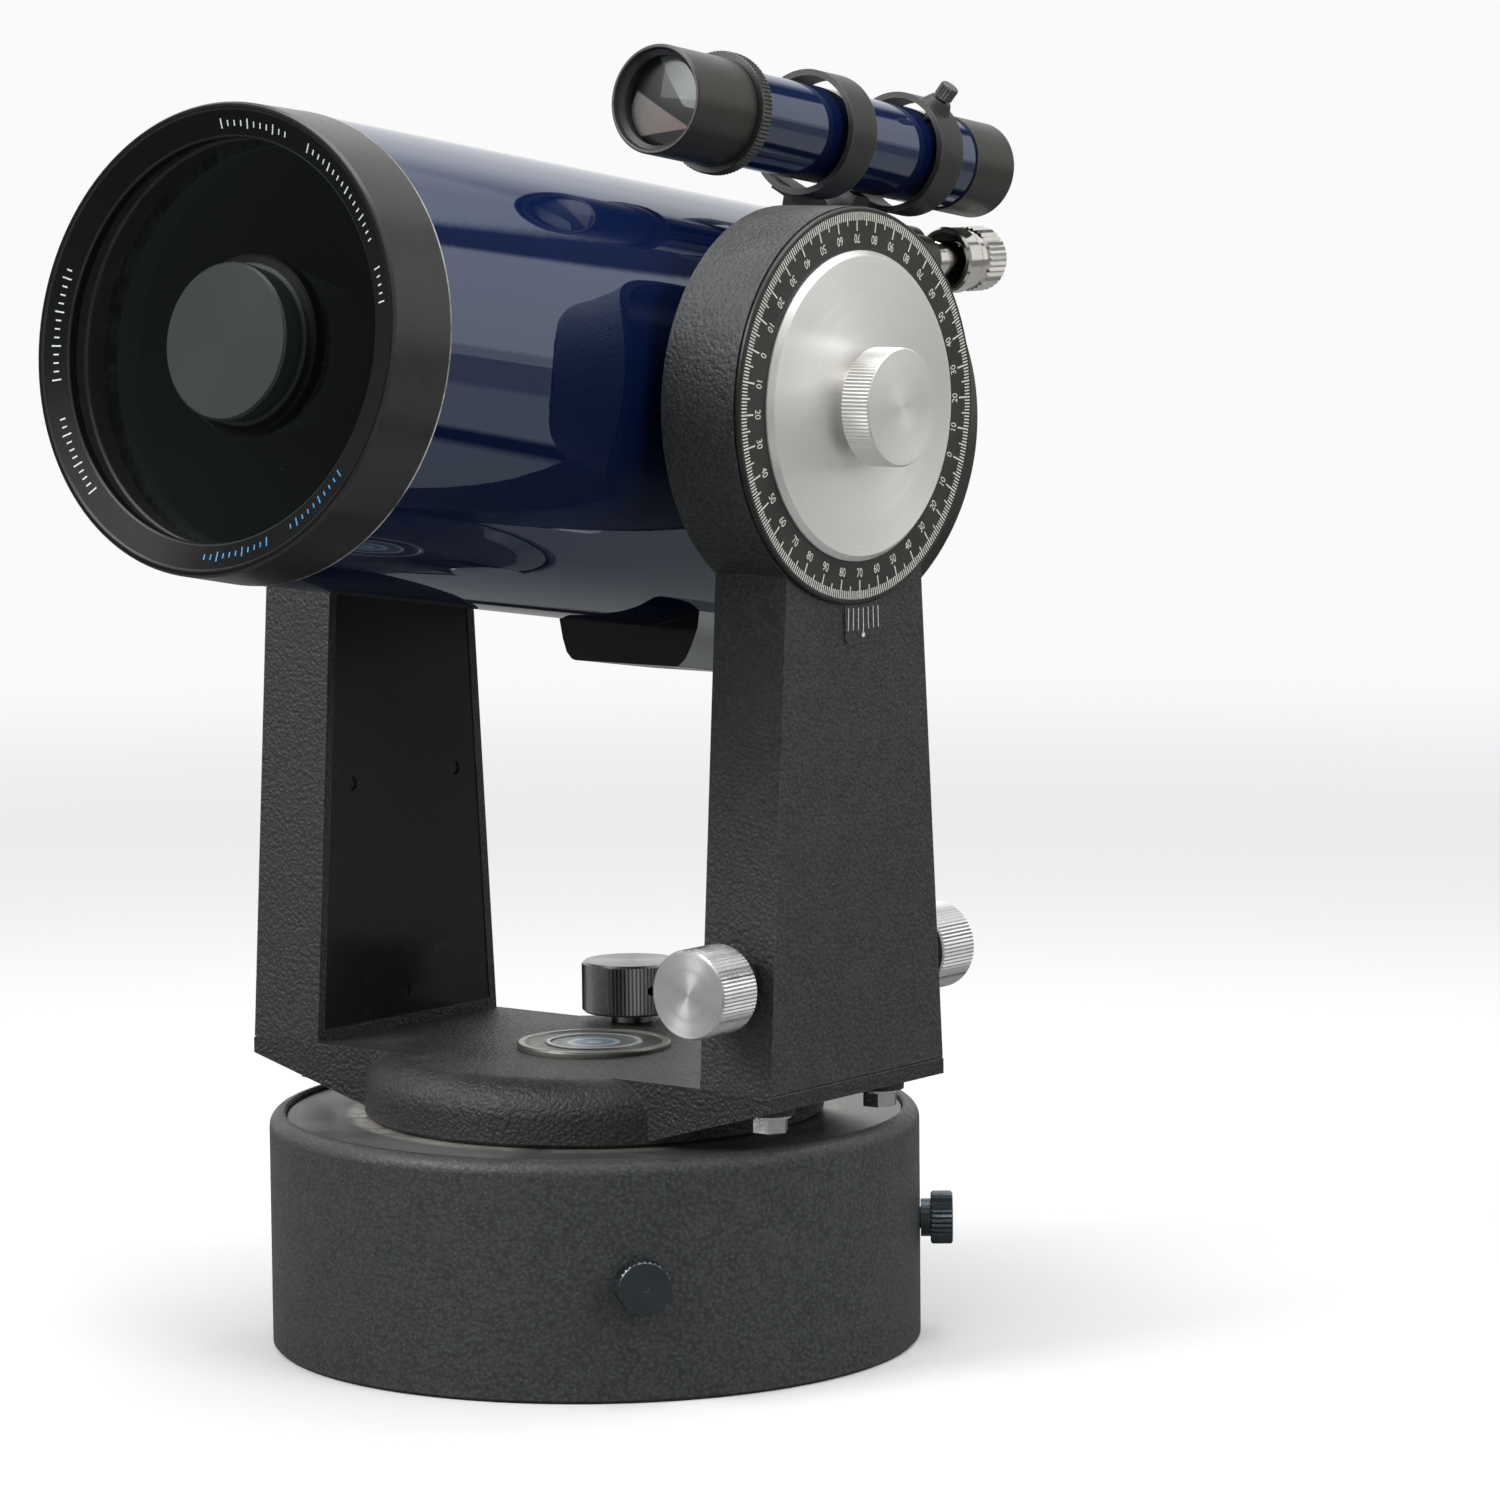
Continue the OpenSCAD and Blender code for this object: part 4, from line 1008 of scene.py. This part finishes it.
def studio_world():
    """Plain backdrop for the camera, soft ambient light, and a graded sky for reflections."""
    world = bpy.data.worlds.new("studio")
    scene.world = world
    graph = Graph(world)

    def background(color, strength):
        return graph.out("ShaderNodeBackground", {"Color": color, "Strength": strength})

    direction = graph.node("ShaderNodeTexCoord").outputs["Generated"]
    sky = graph.ramp(graph.split(direction, 2), SKY)
    rays = graph.node("ShaderNodeLightPath").outputs
    level = graph.vec("NORMALIZE", graph.vec("MULTIPLY", direction, (1, 1, 0)))
    # the sky is brighter along one line across the scene, both ways
    lobe = graph.math("POWER", graph.vec("DOT_PRODUCT", level, (0.607, 0.795, 0)), 2.0)
    graded = background(sky, graph.remap(lobe, over=(0.0, 1.0), to=(0.62, 1.65)))
    # plain pale paper fills the -X +Y quarter
    paper = background((0.90, 0.90, 0.89), strength=1.18)
    behind = graph.mul(graph.remap(graph.split(level, 0), over=(-0.05, -0.40)),
                       graph.remap(graph.split(level, 1), over=(-0.10, 0.25)))
    glossy = graph.blend(behind, graded, paper)
    ambient = background((0.97, 0.985, 1.0), strength=0.52)
    light = graph.blend(rays["Is Glossy Ray"], ambient, glossy)
    surface = graph.blend(rays["Is Camera Ray"], light, background(BACKDROP, strength=1.0))
    graph.node("ShaderNodeOutputWorld", {0: surface})


def softbox(name, place, aim, size, power):
    """A square area light turned towards a point."""
    light = bpy.data.lights.new(name, "AREA")
    light.shape = "RECTANGLE"
    light.size = light.size_y = size
    light.energy = power
    made = add_object(name, light)
    made.location = place
    made.rotation_mode = "QUATERNION"
    made.rotation_quaternion = (Vector(aim) - Vector(place)).to_track_quat("-Z", "Y")
    return made


def studio_camera(place, yaw, pitch, roll):
    """Angles in degrees; yaw turns from +Y towards -X, pitch is up."""
    camera = bpy.data.cameras.new("camera")
    camera.sensor_width = 36
    camera.lens = 143.93
    camera.clip_start, camera.clip_end = 0.05, 30
    made = add_object("camera", camera)
    yaw, pitch, roll = math.radians(yaw), math.radians(pitch), math.radians(roll)
    ahead = Vector((-math.sin(yaw) * math.cos(pitch), math.cos(yaw) * math.cos(pitch),
                    math.sin(pitch)))
    level_right = ahead.cross(Vector((0, 0, 1))).normalized()
    level_up = level_right.cross(ahead)
    right = level_right * math.cos(roll) + level_up * math.sin(roll)
    up = level_up * math.cos(roll) - level_right * math.sin(roll)
    matrix = Matrix((right, up, -ahead)).transposed().to_4x4()
    matrix.translation = Vector(place)
    made.matrix_world = matrix
    scene.camera = made


studio_floor()
studio_world()
softbox("key_left", place=(-0.55, -1.15, 1.05), aim=(0, 0, 0.22), size=0.8, power=16.0)
softbox("top", place=(0.05, 0.10, 1.45), aim=(0, 0, 0.2), size=1.1, power=12.5)
fill = softbox("fill_right", place=(1.35, -0.15, 0.75), aim=(0, 0, 0.22), size=0.9, power=12.5)
fill.visible_glossy = False
studio_camera(place=(1.01140, -1.26355, 0.34377), yaw=37.14, pitch=-6.45, roll=-0.54)
scene.view_settings.view_transform = "Standard"
scene.view_settings.look = "None"
